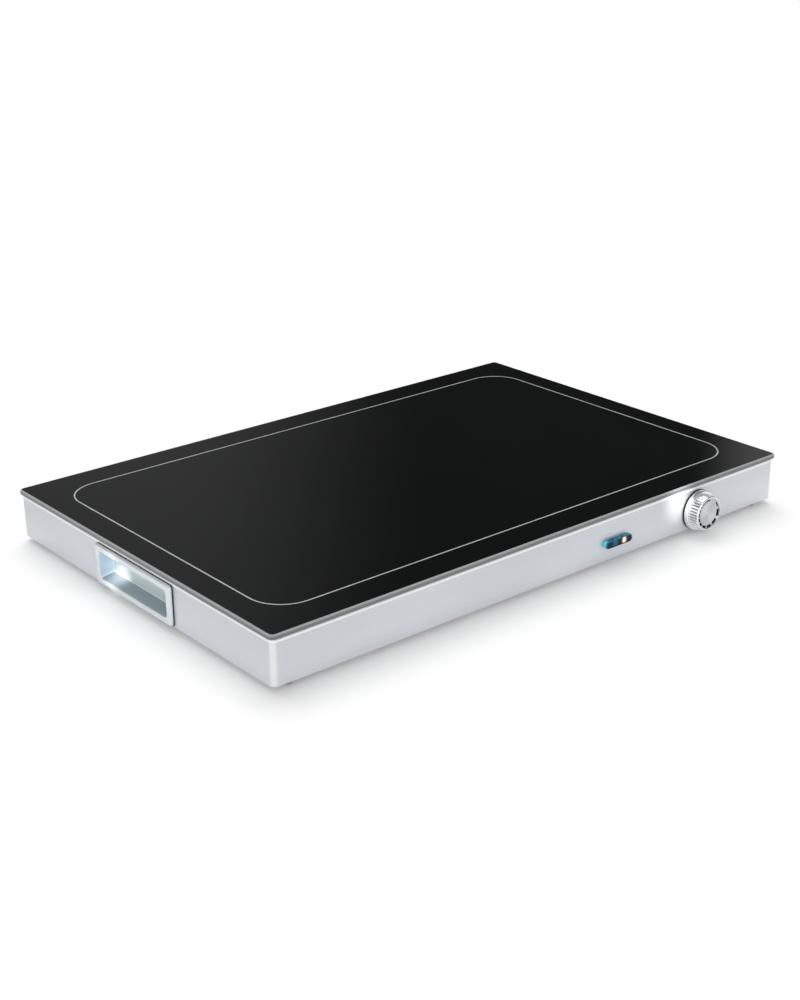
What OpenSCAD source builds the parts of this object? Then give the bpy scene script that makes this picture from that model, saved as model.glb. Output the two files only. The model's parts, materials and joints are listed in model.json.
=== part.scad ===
// Electric food warmer tray.
// A black glass hot plate on a folded sheet-metal frame, heated from below by a
// serpentine cable and set by a dial thermostat on the front.
// Origin: centre of the overall outline, on the surface the feet stand on.
// +X along the long side, -Y to the front, +Z up.

/* [Glass top] */
// Length of the glass
glass_l = 600; // [560:5:700]
// Width of the glass
glass_w = 400; // [350:5:480]
// Thickness of the glass
glass_t = 4; // [3:0.5:6]
// Corner radius of the glass
glass_r = 5; // [4:0.5:10]
// Width of the ground edge, seen from above
ground_w = 1.5; // [0.8:0.1:2.5]
// Drop of the ground edge
ground_h = 1.2; // [0.5:0.1:2]
// Distance of the printed line from the ends of the glass
line_inset_x = 26; // [15:1:60]
// Distance of the printed line from the front and back of the glass
line_inset_y = 32; // [15:1:60]
// Corner radius of the printed line
line_r = 34; // [10:1:60]
// Width of the printed line
line_w = 1.4; // [0.8:0.1:3]
// Depth of the fired print
ink_t = 0.1; // [0.05:0.05:0.2]

/* [Frame band] */
// Distance that the glass stands out past the band
overhang = 1.5; // [1:0.1:3]
// Height of the band
band_h = 40.3; // [40:0.1:55]
// Outside corner radius of the band
band_r = 6; // [5:0.5:10]
// Thickness of the band's sheet
sheet_t = 1; // [0.8:0.1:1.5]
// Radius of the rolled top edge
roll_r = 1.2; // [0.6:0.1:1.6]
// Width of the flange under the glass
top_flange = 14; // [12:1:18]
// Width of the flange over the base plate
bottom_flange = 10; // [10:0.5:12]
// Corner radius of the openings inside the flanges
flange_r = 8; // [4:1:12]

/* [Glass seal] */
// Thickness of the silicone bead
seal_t = 1.1; // [0.8:0.1:2]
// Width of the silicone bead
seal_w = 8; // [6:0.5:9]
// Distance of the bead from the outside of the band
seal_set = 2; // [1.8:0.1:3]

/* [Base plate] */
// Thickness of the base plate
base_t = 1; // [0.8:0.1:1.5]
// Distance of the plate's edge from the outside of the band
base_set = 2; // [1.5:0.5:2.5]
// Width of a pressed bead
bead_w = 14; // [10:1:18]
// Height of a pressed bead
bead_h = 2; // [1:0.5:3]
// Distance between neighbouring beads
bead_pitch = 80; // [60:5:85]
// Width of a vent slot
vent_w = 3; // [2:0.5:3.5]
// Length of a vent slot
vent_l = 22; // [14:1:24]
// Distance between neighbouring vent slots
vent_pitch = 9; // [7:0.5:12]
// Vent slots in a row
vent_n = 12; // [6:1:14]
// Diameter of the base screws
base_screw_d = 4; // [3:0.5:4]
// Distance of the base screws from the outside of the band
base_screw_set = 6; // [5.5:0.1:6.5]

/* [Feet] */
// Height of the rubber feet
foot_h = 4.5; // [4:0.5:12]
// Radius of the feet
foot_r = 8; // [7:0.5:10]
// Distance of the feet from the ends of the band
foot_x = 20; // [18:1:30]
// Distance of the feet from the front and back of the band
foot_y = 14.5; // [14.5:0.5:30]
// Diameter of the foot screws
foot_screw_d = 4; // [3:0.5:4]

/* [Handles] */
// Length of the finger opening
grip_l = 107; // [90:1:120]
// Height of the finger opening
grip_h = 25.5; // [20:0.5:26]
// Corner radius of the finger opening
grip_r = 4.5; // [4:0.5:6]
// Depth of the recess behind the outer face of the band
grip_depth = 10; // [9:0.5:17]
// Draft of the recess at each end
grip_draft_l = 2; // [0.5:0.5:3]
// Draft of the recess at the top and bottom
grip_draft_h = 3.3; // [0.4:0.1:3.6]
// Radius inside the back of the recess
grip_inner_r = 1.5; // [1:0.5:3]
// Wall of the cup
cup_wall = 1.6; // [1.2:0.1:2]
// Width of the rim at each end
rim_l = 6.5; // [5:0.5:8]
// Width of the rim above and below
rim_h = 5.8; // [4:0.1:6]
// Thickness of the rim
rim_t = 2.5; // [1.5:0.1:4]
// Narrowing of the rim from its back to its face
rim_taper = 1; // [0.4:0.1:1.5]
// Corner radius of the rim
rim_r = 3; // [2:0.5:5]
// Thickness of the rubber gasket behind the rim
gasket_t = 1; // [0.5:0.1:1.5]
// Height of the recess's centre above the band's lower edge
grip_rise = 19.2; // [19:0.1:20.5]
// Distance of the yoke screws from the middle
yoke_screw_y = 30; // [20:1:40]
// Thickness of the yoke
yoke_t = 1.2; // [1:0.1:2]
// Width of the yoke
yoke_w = 10; // [8:1:14]

/* [Dial] */
// Distance of the dial from the right end of the band
dial_end = 111.4; // [108:0.1:125]
// Height of the dial above the band's lower edge
dial_rise = 17.5; // [17.2:0.1:20]
// Radius of the skirt
skirt_r = 19.3; // [19:0.1:22]
// Height of the skirt
skirt_h = 4.8; // [3.5:0.1:6]
// Radius of the grip at the skirt
dial_r = 16.8; // [16:0.1:18]
// Radius of the grip at the face
face_r = 16.3; // [15.8:0.1:17]
// Reach of the dial's face from the band
dial_reach = 15.5; // [14:0.1:20]
// Number of flutes round the grip
flute_n = 36; // [24:1:40]
// Radius of a flute
flute_r = 0.75; // [0.5:0.05:0.9]
// Depth of the dished face
face_dish = 1; // [0.5:0.1:1.5]
// Width of the lip round the dished face
face_lip = 1.4; // [1:0.1:2]
// Wall of the dial
dial_wall = 1.2; // [1:0.1:1.3]
// Running gap between the dial and the ring behind it
dial_gap = 0.4; // [0.3:0.1:0.8]
// Thickness of the ring behind the dial
dial_ring_t = 1; // [0.6:0.1:1.5]

/* [Dial marks] */
// Number of growing marks
mark_n = 11; // [6:1:11]
// Angle of the first mark, against the clock from the top
mark_start = 22; // [15:1:30]
// Angle between the first two marks
mark_gap = 13.2; // [10:0.1:13.2]
// Growth of the angle from mark to mark
mark_growth = 1.125; // [1.05:0.005:1.125]
// Share of each angle that the mark fills
mark_fill = 0.66; // [0.4:0.01:0.8]
// Mean radius of the ring of marks
mark_r = 13.1; // [12.5:0.1:13.2]
// Width of the first mark
mark_w = 1.2; // [0.8:0.1:1.2]
// Growth of the width from mark to mark
mark_w_growth = 1.09; // [1:0.01:1.09]
// Thickness of the marks
mark_t = 0.15; // [0.1:0.05:0.3]
// Radius of the raised disc inside the marks
disc_r = 11.4; // [9:0.1:11.4]

/* [Thermostat] */
// Diameter of the spindle
spindle_d = 6; // [5:0.5:6.5]
// Flat on the spindle, measured across from the round side
spindle_flat = 4.6; // [4:0.1:4.8]
// Running clearance of the spindle on each side
spindle_fit = 0.05; // [0.03:0.01:0.08]
// Distance between the two mounting screws
thermo_pitch = 28; // [26:0.5:28]
// Diameter of the mounting screws
thermo_screw_d = 4; // [3:0.5:4]
// Width of the switch body
thermo_w = 34; // [30:1:38]
// Height of the switch body
thermo_h = 30; // [26:1:32]
// Depth of the switch body
thermo_d = 18; // [15:1:20]
// Distance between neighbouring terminals
thermo_tab_pitch = 10; // [8:0.5:12]

/* [Sensor] */
// Diameter of the sensor bulb
bulb_d = 3; // [2:0.1:3]
// Length of the sensor bulb
bulb_l = 80; // [60:5:100]
// Diameter of the capillary tube
capillary_d = 1.6; // [1:0.1:2]
// Distance of the bulb from the cable's tails
bulb_set = 10; // [8:1:14]
// Distance of the tube's first turn from the dial's axis
tube_turn = 16; // [14:1:20]
// Distance of the tube's drop from the dial's axis
tube_side = 6; // [4:1:8]
// Distance that the tube has crossed towards the front at its second turn
tube_jog = 12; // [8:1:14]

/* [Indicator] */
// Distance between the indicator and the dial
lamp_pitch = 108.4; // [95:0.1:115]
// Height of the indicator above the band's lower edge
lamp_rise = 16.4; // [13:0.1:20]
// Length of the indicator's rim
lamp_l = 34; // [30:0.5:38]
// Height of the indicator's rim
lamp_h = 7.6; // [7.2:0.1:9]
// Width of the indicator's rim
lamp_rim = 1.1; // [1.1:0.1:1.4]
// Reach of the rim from the band
lamp_proud = 4.4; // [3:0.1:6]
// Height of the sloping edge round the rim
lamp_edge = 0.8; // [0.4:0.1:1]
// Wall of the indicator's sleeve
lamp_wall = 0.5; // [0.4:0.1:0.6]
// Distance of the glow lamp from the middle of the lens
glow_x = 7; // [6.9:0.1:11]
// Diameter of the glow lamp
glow_d = 3; // [2.5:0.1:3.2]

/* [Heater] */
// Distance of the heated area from the ends of the glass
heater_inset_x = 40; // [38:1:60]
// Distance of the heated area from the front and back of the glass
heater_inset_y = 40; // [40:1:60]
// Thickness of the heat spreader
spreader_t = 1.5; // [1:0.1:2]
// Diameter of the heating cable
cable_d = 3; // [3:0.1:4]
// Out-and-back loops of the heating cable
cable_loops = 4; // [3:1:5]
// Distance of the outer runs from the front and back edges of the spreader
cable_edge = 20; // [18:1:30]
// Distance of the bends from the ends of the spreader
cable_end = 14; // [10:1:30]
// Thickness of the cable straps
strap_t = 0.8; // [0.6:0.1:1]
// Width of the cable straps
strap_w = 12; // [10:1:16]
// Distance of the first strap from the bends on the left
strap_end = 31; // [20:1:45]
// Clearance between a strap and the sensor or its tube
strap_gap = 8; // [5:1:9]
// Thickness of the insulating mat
mat_t = 12; // [8:0.5:13]
// Thickness of the reflector pan
pan_t = 0.8; // [0.6:0.1:1]
// Height of the reflector pan's rim
pan_rim = 8; // [5:0.5:9]
// Distance of the cable's tails from the dial's axis
tail_set = 37; // [35:1:40]
// Distance of the tails and the tube outside the spreader
drop_set = 9; // [8.5:0.5:9.5]

/* [Braces] */
// Distance between neighbouring braces
brace_pitch = 211; // [200:1:212]
// Distance of the right brace from the right end of the band
brace_end = 66.5; // [64:0.5:68]
// Width of a brace's top
brace_w = 20; // [16:1:20]
// Width of a brace's feet
brace_foot = 8; // [6:0.5:8]
// Thickness of the braces
brace_t = 1; // [0.8:0.1:1.5]

/* [Mains inlet] */
// Distance of the inlet from the right end of the band
inlet_end = 111.4; // [108:0.1:125]
// Height of the inlet above the band's lower edge
inlet_rise = 18; // [17:0.5:22]
// Thickness of the inlet's flange
inlet_flange_t = 2.5; // [1.5:0.1:3]
// Distance between the inlet's screws
inlet_pitch = 40; // [38:0.5:44]

/* [Wiring] */
// Diameter of the leads
lead_d = 2.4; // [2:0.1:2.6]
// Bend radius of the leads
lead_bend = 5; // [4:0.5:6]
// Distance of the terminal block from the right end of the band
block_end = 172; // [165:1:180]
// Distance of the terminal block behind the middle
block_y = 60; // [56:1:64]

/* [Hidden] */
$fn = 48;

// Overshoot of a cut past the face it starts from
cut = 1;
// Clearance round a part that drops into an opening
fit = 0.3;
// Clearance round a screw in its hole
screw_fit = 0.05;

// Levels, from the floor up
band_z = foot_h + base_t;
floor_z = band_z;
flange_z = band_z + sheet_t;
seal_z = band_z + band_h;
glass_z = seal_z + seal_t;
spreader_z = glass_z - spreader_t;
cable_fit = 0.1;
strap_z = spreader_z - cable_d - cable_fit - strap_t;
cable_z = spreader_z - cable_fit / 2 - cable_d / 2;
mat_z = strap_z - mat_t;
pan_z = mat_z - pan_t;

// Outlines
band_l = glass_l - 2 * overhang;
band_w = glass_w - 2 * overhang;
spreader_l = glass_l - 2 * heater_inset_x;
spreader_w = glass_w - 2 * heater_inset_y;
spreader_r = 10;
mat_fit = 0.5;
pan_l = spreader_l + 2 * mat_fit + 2 * pan_t;
pan_w = spreader_w + 2 * mat_fit + 2 * pan_t;

// Places on the walls
dial_x = band_l / 2 - dial_end;
dial_z = band_z + dial_rise;
lamp_x = dial_x - lamp_pitch;
lamp_z = band_z + lamp_rise;
inlet_x = band_l / 2 - inlet_end;
inlet_z = band_z + inlet_rise;
grip_z = band_z + grip_rise;

// The dial's reach sets how far the tray stands back from the middle of the outline
front_reach = band_w / 2 + dial_reach;
rear_reach = max(glass_w / 2, band_w / 2 + inlet_flange_t);
tray_y = (front_reach - rear_reach) / 2;

// Braces and the bays between them
brace_half = brace_w / 2 + brace_foot;
brace_xs = [for (i = [0 : 2]) band_l / 2 - brace_end - i * brace_pitch];
bay_xs = [(brace_xs[0] + brace_xs[1]) / 2, (brace_xs[1] + brace_xs[2]) / 2];
bay_l = brace_pitch - 2 * brace_half;

// ---------------------------------------------------------------- general shapes

// Flat rectangle with round corners
module round_rect(l, w, r) {
    square([l - 2 * r, w], center = true);
    square([l, w - 2 * r], center = true);
    for (x = [-1, 1], y = [-1, 1])
        translate([x * (l / 2 - r), y * (w / 2 - r)]) circle(r);
}

// Flat frame with round corners
module round_frame(l, w, r, t) {
    difference() {
        round_rect(l, w, r);
        round_rect(l - 2 * t, w - 2 * t, max(r - t, 0.5));
    }
}

// Flat slot with half-round ends
module pill(l, w) {
    square([l - w, w], center = true);
    for (x = [-1, 1]) translate([x * (l - w) / 2, 0]) circle(d = w);
}

module slab(h, z = 0) translate([0, 0, z]) linear_extrude(h) children();

// Block of height h whose outside edge follows the flat profile given as a child:
// x runs from the centre of the corner arc out to the corner radius r
module edge_block(l, w, r, h) {
    run_l = l - 2 * r;
    run_w = w - 2 * r;
    translate([0, 0, h / 2]) cube([run_l, run_w, h], center = true);
    for (s = [0, 1]) rotate([0, 0, 180 * s]) {
        translate([-run_l / 2, -run_w / 2, 0]) rotate([90, 0, 90]) mirror([1, 0, 0])
            linear_extrude(run_l) children();
        translate([run_l / 2, -run_w / 2, 0]) rotate([90, 0, 180]) mirror([1, 0, 0])
            linear_extrude(run_w) children();
        translate([run_l / 2, run_w / 2, 0]) rotate_extrude(angle = 90) children();
        translate([run_l / 2, -run_w / 2, 0]) rotate([0, 0, -90])
            rotate_extrude(angle = 90) children();
    }
}

// Pan-head screw, head down, its shank rising from the seat at z = 0
module pan_screw(d, l) {
    head_r = d * 0.85;
    head_h = d * 0.45;
    slot_w = d * 0.22;
    difference() {
        union() {
            cylinder(d = d, h = l);
            translate([0, 0, -head_h]) cylinder(r1 = head_r * 0.8, r2 = head_r, h = head_h);
        }
        for (a = [0, 90]) rotate([0, 0, a]) translate([0, 0, -head_h])
            cube([head_r * 1.1, slot_w, head_h], center = true);
    }
}

module hex_nut(d, h) {
    difference() {
        cylinder(r = d * 0.98, h = h, $fn = 6);
        translate([0, 0, -cut]) cylinder(d = d + 2 * screw_fit, h = h + 2 * cut);
    }
}

// Frames of the walls: x along the wall, y up, z out of the wall's outer face
module on_front(x, z) translate([x, -band_w / 2, z]) rotate([90, 0, 0]) children();
module on_back(x, z) translate([x, band_w / 2, z]) rotate([90, 0, 180]) children();
// Frame of an end wall: x into the tray, y along the wall, z up; side is -1 left, 1 right
module on_end(side) mirror([side > 0 ? 1 : 0, 0, 0])
    translate([-band_l / 2, 0, grip_z]) children();

// ---------------------------------------------------------------- round wire on a route

function unit(v) = v / norm(v);
// Route with each inner corner rounded by a short curve of n steps
function round_route(p, r, n = 4) = concat([p[0]],
    [for (i = [1 : len(p) - 2])
        let (reach = min(r, norm(p[i] - p[i - 1]) / 2, norm(p[i + 1] - p[i]) / 2),
             a = p[i] + reach * unit(p[i - 1] - p[i]),
             b = p[i] + reach * unit(p[i + 1] - p[i]))
        for (k = [0 : n]) let (t = k / n)
            (1 - t) * (1 - t) * a + 2 * t * (1 - t) * p[i] + t * t * b],
    [p[len(p) - 1]]);
function tangent(p, i) = unit(p[min(i + 1, len(p) - 1)] - p[max(i - 1, 0)]);
function any_normal(t) = unit(cross(t, abs(t.z) < 0.9 ? [0, 0, 1] : [1, 0, 0]));
// Side vectors carried along the route without twist
function side_vectors(p, i = 0, last = undef) =
    i >= len(p) ? [] :
    let (t = tangent(p, i),
         n = i == 0 ? any_normal(t) : unit(last - (last * t) * t))
    concat([n], side_vectors(p, i + 1, n));

module wire(points, d, bend, sides = 8) {
    p = round_route(points, bend);
    n = side_vectors(p);
    rings = [for (i = [0 : len(p) - 1]) let (b = cross(tangent(p, i), n[i]))
        for (k = [0 : sides - 1]) let (a = 360 * k / sides)
            p[i] + d / 2 * (cos(a) * n[i] + sin(a) * b)];
    last = (len(p) - 1) * sides;
    polyhedron(points = rings, faces = concat(
        [[for (k = [0 : sides - 1]) sides - 1 - k]],
        [[for (k = [0 : sides - 1]) last + k]],
        [for (i = [0 : len(p) - 2], k = [0 : sides - 1])
            let (j = (k + 1) % sides, row = i * sides)
            [row + k, row + j, row + sides + j, row + sides + k]]));
}

// ---------------------------------------------------------------- glass, frame and base

// Flat shape of the printed line
module zone_outline()
    round_frame(glass_l - 2 * line_inset_x, glass_w - 2 * line_inset_y, line_r, line_w);

// The line is fired flush into the top of the glass
module glass_top() color([0.06, 0.065, 0.07]) difference() {
    translate([0, 0, glass_z]) edge_block(glass_l, glass_w, glass_r, glass_t)
        polygon([[0, 0], [glass_r, 0], [glass_r, glass_t - ground_h],
                 [glass_r - ground_w, glass_t], [0, glass_t]]);
    slab(ink_t + cut, glass_z + glass_t - ink_t) zone_outline();
}

module zone_line() color([0.75, 0.77, 0.78])
    slab(ink_t, glass_z + glass_t - ink_t) zone_outline();

module glass_seal() color([0.45, 0.46, 0.47])
    slab(seal_t, seal_z)
        round_frame(band_l - 2 * seal_set, band_w - 2 * seal_set, band_r, seal_w);

// Places of the base screws, all round the bottom flange
function base_screw_places() =
    let (x = band_l / 2 - base_screw_set, y = band_w / 2 - base_screw_set,
         near_foot = band_l / 2 - foot_x - foot_r - base_screw_d - 4)
    concat([for (s = [-1, 1], px = [-near_foot, bay_xs[1], bay_xs[0], near_foot]) [px, s * y]],
           [for (s = [-1, 1]) [s * x, 0]]);
function foot_places() = [for (x = [-1, 1], y = [-1, 1])
    [x * (band_l / 2 - foot_x), y * (band_w / 2 - foot_y)]];

cup_l = grip_l + 2 * cup_wall;
cup_h = grip_h + 2 * cup_wall;

module side_band() color([0.82, 0.83, 0.85])
    translate([0, 0, band_z]) difference() {
        edge_block(band_l, band_w, band_r, band_h) {
            union() {
                square([band_r - roll_r, band_h]);
                square([band_r, band_h - roll_r]);
                translate([band_r - roll_r, band_h - roll_r]) circle(roll_r);
            }
        }
        slab(band_h - 2 * sheet_t, sheet_t)
            round_rect(band_l - 2 * sheet_t, band_w - 2 * sheet_t, band_r - sheet_t);
        slab(2 * sheet_t, band_h - 1.5 * sheet_t)
            round_rect(band_l - 2 * top_flange, band_w - 2 * top_flange, flange_r);
        slab(2 * sheet_t, -sheet_t / 2)
            round_rect(band_l - 2 * bottom_flange, band_w - 2 * bottom_flange, flange_r);
        for (p = base_screw_places()) translate([p.x, p.y, -cut])
            cylinder(d = base_screw_d + 2 * screw_fit, h = sheet_t + 2 * cut);
        translate([0, 0, -band_z]) wall_openings();
    }

// Everything that is punched through the walls of the band
module wall_openings() {
    depth = sheet_t + 2 * cut;
    for (side = [-1, 1]) on_end(side) translate([-cut, 0, 0]) rotate([90, 0, 90])
        linear_extrude(depth) round_rect(cup_l + 2 * fit, cup_h + 2 * fit, grip_r + cup_wall);
    on_front(dial_x, dial_z) {
        slab(depth, -sheet_t - cut) circle(collar_r + fit);
        for (s = [-1, 1]) translate([s * thermo_pitch / 2, 0, -sheet_t - cut])
            cylinder(d = thermo_screw_d + 2 * screw_fit, h = depth);
    }
    on_front(lamp_x, lamp_z) slab(depth, -sheet_t - cut)
        pill(lamp_inner_l + 2 * lamp_wall + 2 * fit, lamp_inner_h + 2 * lamp_wall + 2 * fit);
    on_back(inlet_x, inlet_z) {
        slab(depth, -sheet_t - cut) round_rect(inlet_l + 2 * fit, inlet_h + 2 * fit, 1.5);
        for (s = [-1, 1]) translate([s * inlet_pitch / 2, 0, -sheet_t - cut])
            cylinder(d = inlet_screw_d + 2 * screw_fit, h = depth);
    }
}

module base_plate() color([0.62, 0.63, 0.65])
    translate([0, 0, foot_h]) difference() {
        union() {
            slab(base_t) round_rect(band_l - 2 * base_set, band_w - 2 * base_set, band_r);
            beads(base_t + bead_h, bead_w);
        }
        translate([0, 0, -cut]) beads(bead_h + cut, bead_w - 2 * base_t);
        for (p = base_screw_places()) translate([p.x, p.y, -cut])
            cylinder(d = base_screw_d + 2 * screw_fit, h = base_t + 2 * cut);
        for (p = foot_places()) translate([p.x, p.y, -cut])
            cylinder(d = foot_screw_d + 2 * screw_fit, h = base_t + 2 * cut);
        slab(base_t + 2 * cut, -cut) vents();
    }

// Rows of pressed beads in the bays between the braces
bead_end = 20;
bead_l = bay_l - 2 * bead_end;
module beads(h, w) for (x = bay_xs, k = [-1.5 : 1 : 1.5])
    translate([x, k * bead_pitch, 0]) linear_extrude(h) pill(bead_l - bead_w + w, w);

// Rows of narrow slots between the outer beads and the flange
module vents() for (s = [-1, 1], k = [0 : vent_n - 1])
    translate([bay_xs[1] + (k - (vent_n - 1) / 2) * vent_pitch,
               s * (1.5 * bead_pitch + bead_w / 2 + vent_l / 2 + 8)])
        rotate(90) pill(vent_l, vent_w);

module base_screws() color([0.75, 0.75, 0.76])
    for (p = base_screw_places()) translate([p.x, p.y, foot_h])
        pan_screw(base_screw_d, base_t + sheet_t + 3);

foot_bore_r = foot_screw_d * 0.85 + 0.4;
foot_seat = 1.5;
module feet() color([0.07, 0.07, 0.07])
    for (p = foot_places()) translate([p.x, p.y, 0]) rotate_extrude() difference() {
        union() {
            translate([0, 1]) square([foot_r, foot_h - 1]);
            square([foot_r - 1, foot_h]);
            translate([foot_r - 1, 1]) circle(1);
        }
        translate([-1, -cut]) square([foot_bore_r + 1, foot_h - foot_seat + cut]);
        translate([-1, -cut]) square([foot_screw_d / 2 + screw_fit + 1, foot_h + 2 * cut]);
    }

nut_h = 3;
module foot_screws() color([0.75, 0.75, 0.76])
    for (p = foot_places()) translate([p.x, p.y, foot_h - foot_seat])
        pan_screw(foot_screw_d, foot_seat + base_t + nut_h + 1);

module foot_nuts() color([0.75, 0.75, 0.76])
    for (p = foot_places()) translate([p.x, p.y, floor_z]) rotate([0, 0, 30])
        hex_nut(foot_screw_d, nut_h);

// ---------------------------------------------------------------- recessed handles

rim_x = -gasket_t - rim_t;
boss_l = 3;
boss_r = 3.2;
yoke_x = grip_depth + cup_wall + boss_l;
yoke_screw_d = 3;

// Flat shape of an end-wall part, drawn with x along the wall and y up, set at depth x
module end_slab(x, t) translate([x, 0, 0]) rotate([90, 0, 90]) linear_extrude(t) children();

// Tapering hollow of the recess, larger all round by grow
module recess(front_x, grow) hull() {
    end_slab(front_x, 0.1) round_rect(grip_l + 2 * grow, grip_h + 2 * grow, grip_r + grow, $fn = 32);
    for (y = [-1, 1], z = [-1, 1])
        translate([grip_depth - grip_inner_r,
                   y * (grip_l / 2 - grip_draft_l - grip_inner_r),
                   z * (grip_h / 2 - grip_draft_h - grip_inner_r)])
            sphere(grip_inner_r + grow, $fn = 20);
}

module handle_cup() difference() {
    union() {
        recess(-gasket_t, cup_wall);
        hull() {
            end_slab(-gasket_t - rim_t / 2, rim_t / 2)
                round_rect(grip_l + 2 * rim_l, grip_h + 2 * rim_h, rim_r, $fn = 32);
            end_slab(rim_x, 0.1)
                round_rect(grip_l + 2 * rim_l - 2 * rim_taper, grip_h + 2 * rim_h - 2 * rim_taper,
                           rim_r - rim_taper / 2, $fn = 32);
        }
        for (s = [-1, 1]) translate([grip_depth, s * yoke_screw_y, 0]) rotate([0, 90, 0])
            cylinder(r = boss_r, h = cup_wall + boss_l);
    }
    recess(rim_x - 0.05, 0);
    for (s = [-1, 1]) translate([grip_depth + cup_wall / 2, s * yoke_screw_y, 0]) rotate([0, 90, 0])
        cylinder(d = yoke_screw_d + 2 * screw_fit, h = cup_wall + boss_l);
}

module handle_left() color([0.84, 0.87, 0.9]) on_end(-1) handle_cup();
module handle_right() color([0.84, 0.87, 0.9]) on_end(1) handle_cup();

module handle_gasket() end_slab(-gasket_t, gasket_t) difference() {
    round_rect(grip_l + 2 * rim_l + 0.6, grip_h + 2 * rim_h + 0.6, rim_r);
    round_rect(cup_l + 2 * fit, cup_h + 2 * fit, grip_r + cup_wall);
}
module handle_gasket_left() color([0.03, 0.03, 0.03]) on_end(-1) handle_gasket();
module handle_gasket_right() color([0.03, 0.03, 0.03]) on_end(1) handle_gasket();

// Steel strap behind each cup: its bent ends bear on the wall, its screws pull the rim tight
yoke_half = cup_l / 2 + fit + 3;
module handle_yokes() color([0.7, 0.71, 0.72])
    for (side = [-1, 1]) on_end(side) difference() {
        translate([0, 0, -yoke_w / 2]) linear_extrude(yoke_w) {
            translate([yoke_x, -yoke_half]) square([yoke_t, 2 * yoke_half]);
            for (s = [-1, 1]) translate([sheet_t, s * (yoke_half - yoke_t / 2) - yoke_t / 2])
                square([yoke_x + yoke_t - sheet_t, yoke_t]);
        }
        for (s = [-1, 1]) translate([yoke_x - cut, s * yoke_screw_y, 0]) rotate([0, 90, 0])
            cylinder(d = yoke_screw_d + 2 * screw_fit, h = yoke_t + 2 * cut);
    }

module yoke_screws() color([0.75, 0.75, 0.76])
    for (side = [-1, 1], s = [-1, 1]) on_end(side)
        translate([yoke_x + yoke_t, s * yoke_screw_y, 0]) rotate([0, -90, 0])
            pan_screw(yoke_screw_d, yoke_t + boss_l);

// ---------------------------------------------------------------- dial and thermostat

collar_r = spindle_d / 2 + 1.8;
dial_back = dial_ring_t + dial_gap;
skirt_top = dial_back + skirt_h;
face_z = dial_reach - face_dish;
face_t = 0.5;
hub_r = spindle_d / 2 + 2.4;
bore_end = dial_reach - 4.5;
face_edge = 0.6;
thermo_plate_t = 1.2;
body_front = -sheet_t - thermo_plate_t;
body_back = body_front - thermo_d;
tab_t = 0.8;
tab_w = 6.3;
tab_l = 8;

module dial_ring() color([0.03, 0.03, 0.03]) on_front(dial_x, dial_z)
    slab(dial_ring_t) difference() {
        circle(skirt_r);
        circle(skirt_r - dial_wall - 0.3);
    }

// Half section of the dial: skirt, tapering grip, lip and dished face, hollow behind
module dial_section() {
    edge = face_edge;
    difference() {
        union() {
            polygon([[0, dial_back], [skirt_r - edge / 2, dial_back],
                     [skirt_r, dial_back + edge / 2], [skirt_r, skirt_top - edge],
                     [skirt_r - edge, skirt_top], [dial_r, skirt_top],
                     [face_r, dial_reach - edge], [face_r - edge, dial_reach],
                     [0, dial_reach]]);
        }
        translate([0, face_z - face_t]) square([face_r - face_lip, face_dish + face_t + cut]);
        difference() {
            union() {
                translate([0, dial_back - cut])
                    square([skirt_r - dial_wall, skirt_h - dial_wall + cut]);
                square([face_r - flute_r - dial_wall, face_z - face_t - dial_wall]);
            }
            square([hub_r, dial_reach]);
        }
        square([hub_r, dial_back + 0.8]);
    }
}

// The flutes lie on the taper of the grip and stop short of the skirt and the face
flute_out = flute_r * 0.2;
flute_end = 0.4;
flute_lean = atan2(dial_r - face_r, dial_reach - skirt_top);
flute_l = dial_reach - skirt_top - flute_end - face_edge - 0.5;
module dial() color([0.85, 0.86, 0.87]) on_front(dial_x, dial_z) difference() {
    rotate_extrude() dial_section();
    for (k = [0 : flute_n - 1]) rotate([0, 0, 360 * (k + 0.5) / flute_n])
        translate([dial_r + flute_out, 0, skirt_top]) rotate([0, -flute_lean, 0])
            translate([0, 0, flute_end]) cylinder(r = flute_r, h = flute_l, $fn = 16);
    translate([0, 0, dial_back]) linear_extrude(bore_end - dial_back) spindle_shape(screw_fit);
}

// Round with a flat, the outline of the spindle inside the dial
module spindle_shape(grow) intersection() {
    circle(spindle_d / 2 + grow);
    translate([0, spindle_flat - spindle_d / 2 - spindle_d + grow])
        square([3 * spindle_d, 2 * spindle_d], center = true);
}

module dial_face() color([0.8, 0.81, 0.82]) on_front(dial_x, dial_z)
    translate([0, 0, face_z - face_t]) {
        cylinder(r = face_r - face_lip - screw_fit, h = face_t);
        cylinder(r = disc_r, h = face_t + 0.3);
    }

// Flat piece of a ring between two radii, centred on angle a and spanning sweep
module arc_piece(r, w, a, sweep) rotate(a) intersection() {
    difference() {
        circle(r + w / 2);
        circle(r - w / 2);
    }
    polygon([[0, 0], for (k = [-2 : 2]) 2 * r * [cos(k * sweep / 4), sin(k * sweep / 4)]]);
}
function growth_sum(k) = k <= 0 ? 0 : pow(mark_growth, k - 1) + growth_sum(k - 1);

// Two thin dashes beside the start and past the end of the marks
dash_places = [94, 28];
dash_sweep = 21;
module dial_marks() color([0.03, 0.03, 0.03]) on_front(dial_x, dial_z) slab(mark_t, face_z) {
    for (k = [0 : mark_n - 1])
        arc_piece(mark_r, mark_w * pow(mark_w_growth, k),
                  90 + mark_start + mark_gap * growth_sum(k),
                  mark_gap * pow(mark_growth, k) * mark_fill);
    for (a = dash_places) arc_piece(mark_r, mark_w, a, dash_sweep);
}

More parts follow.
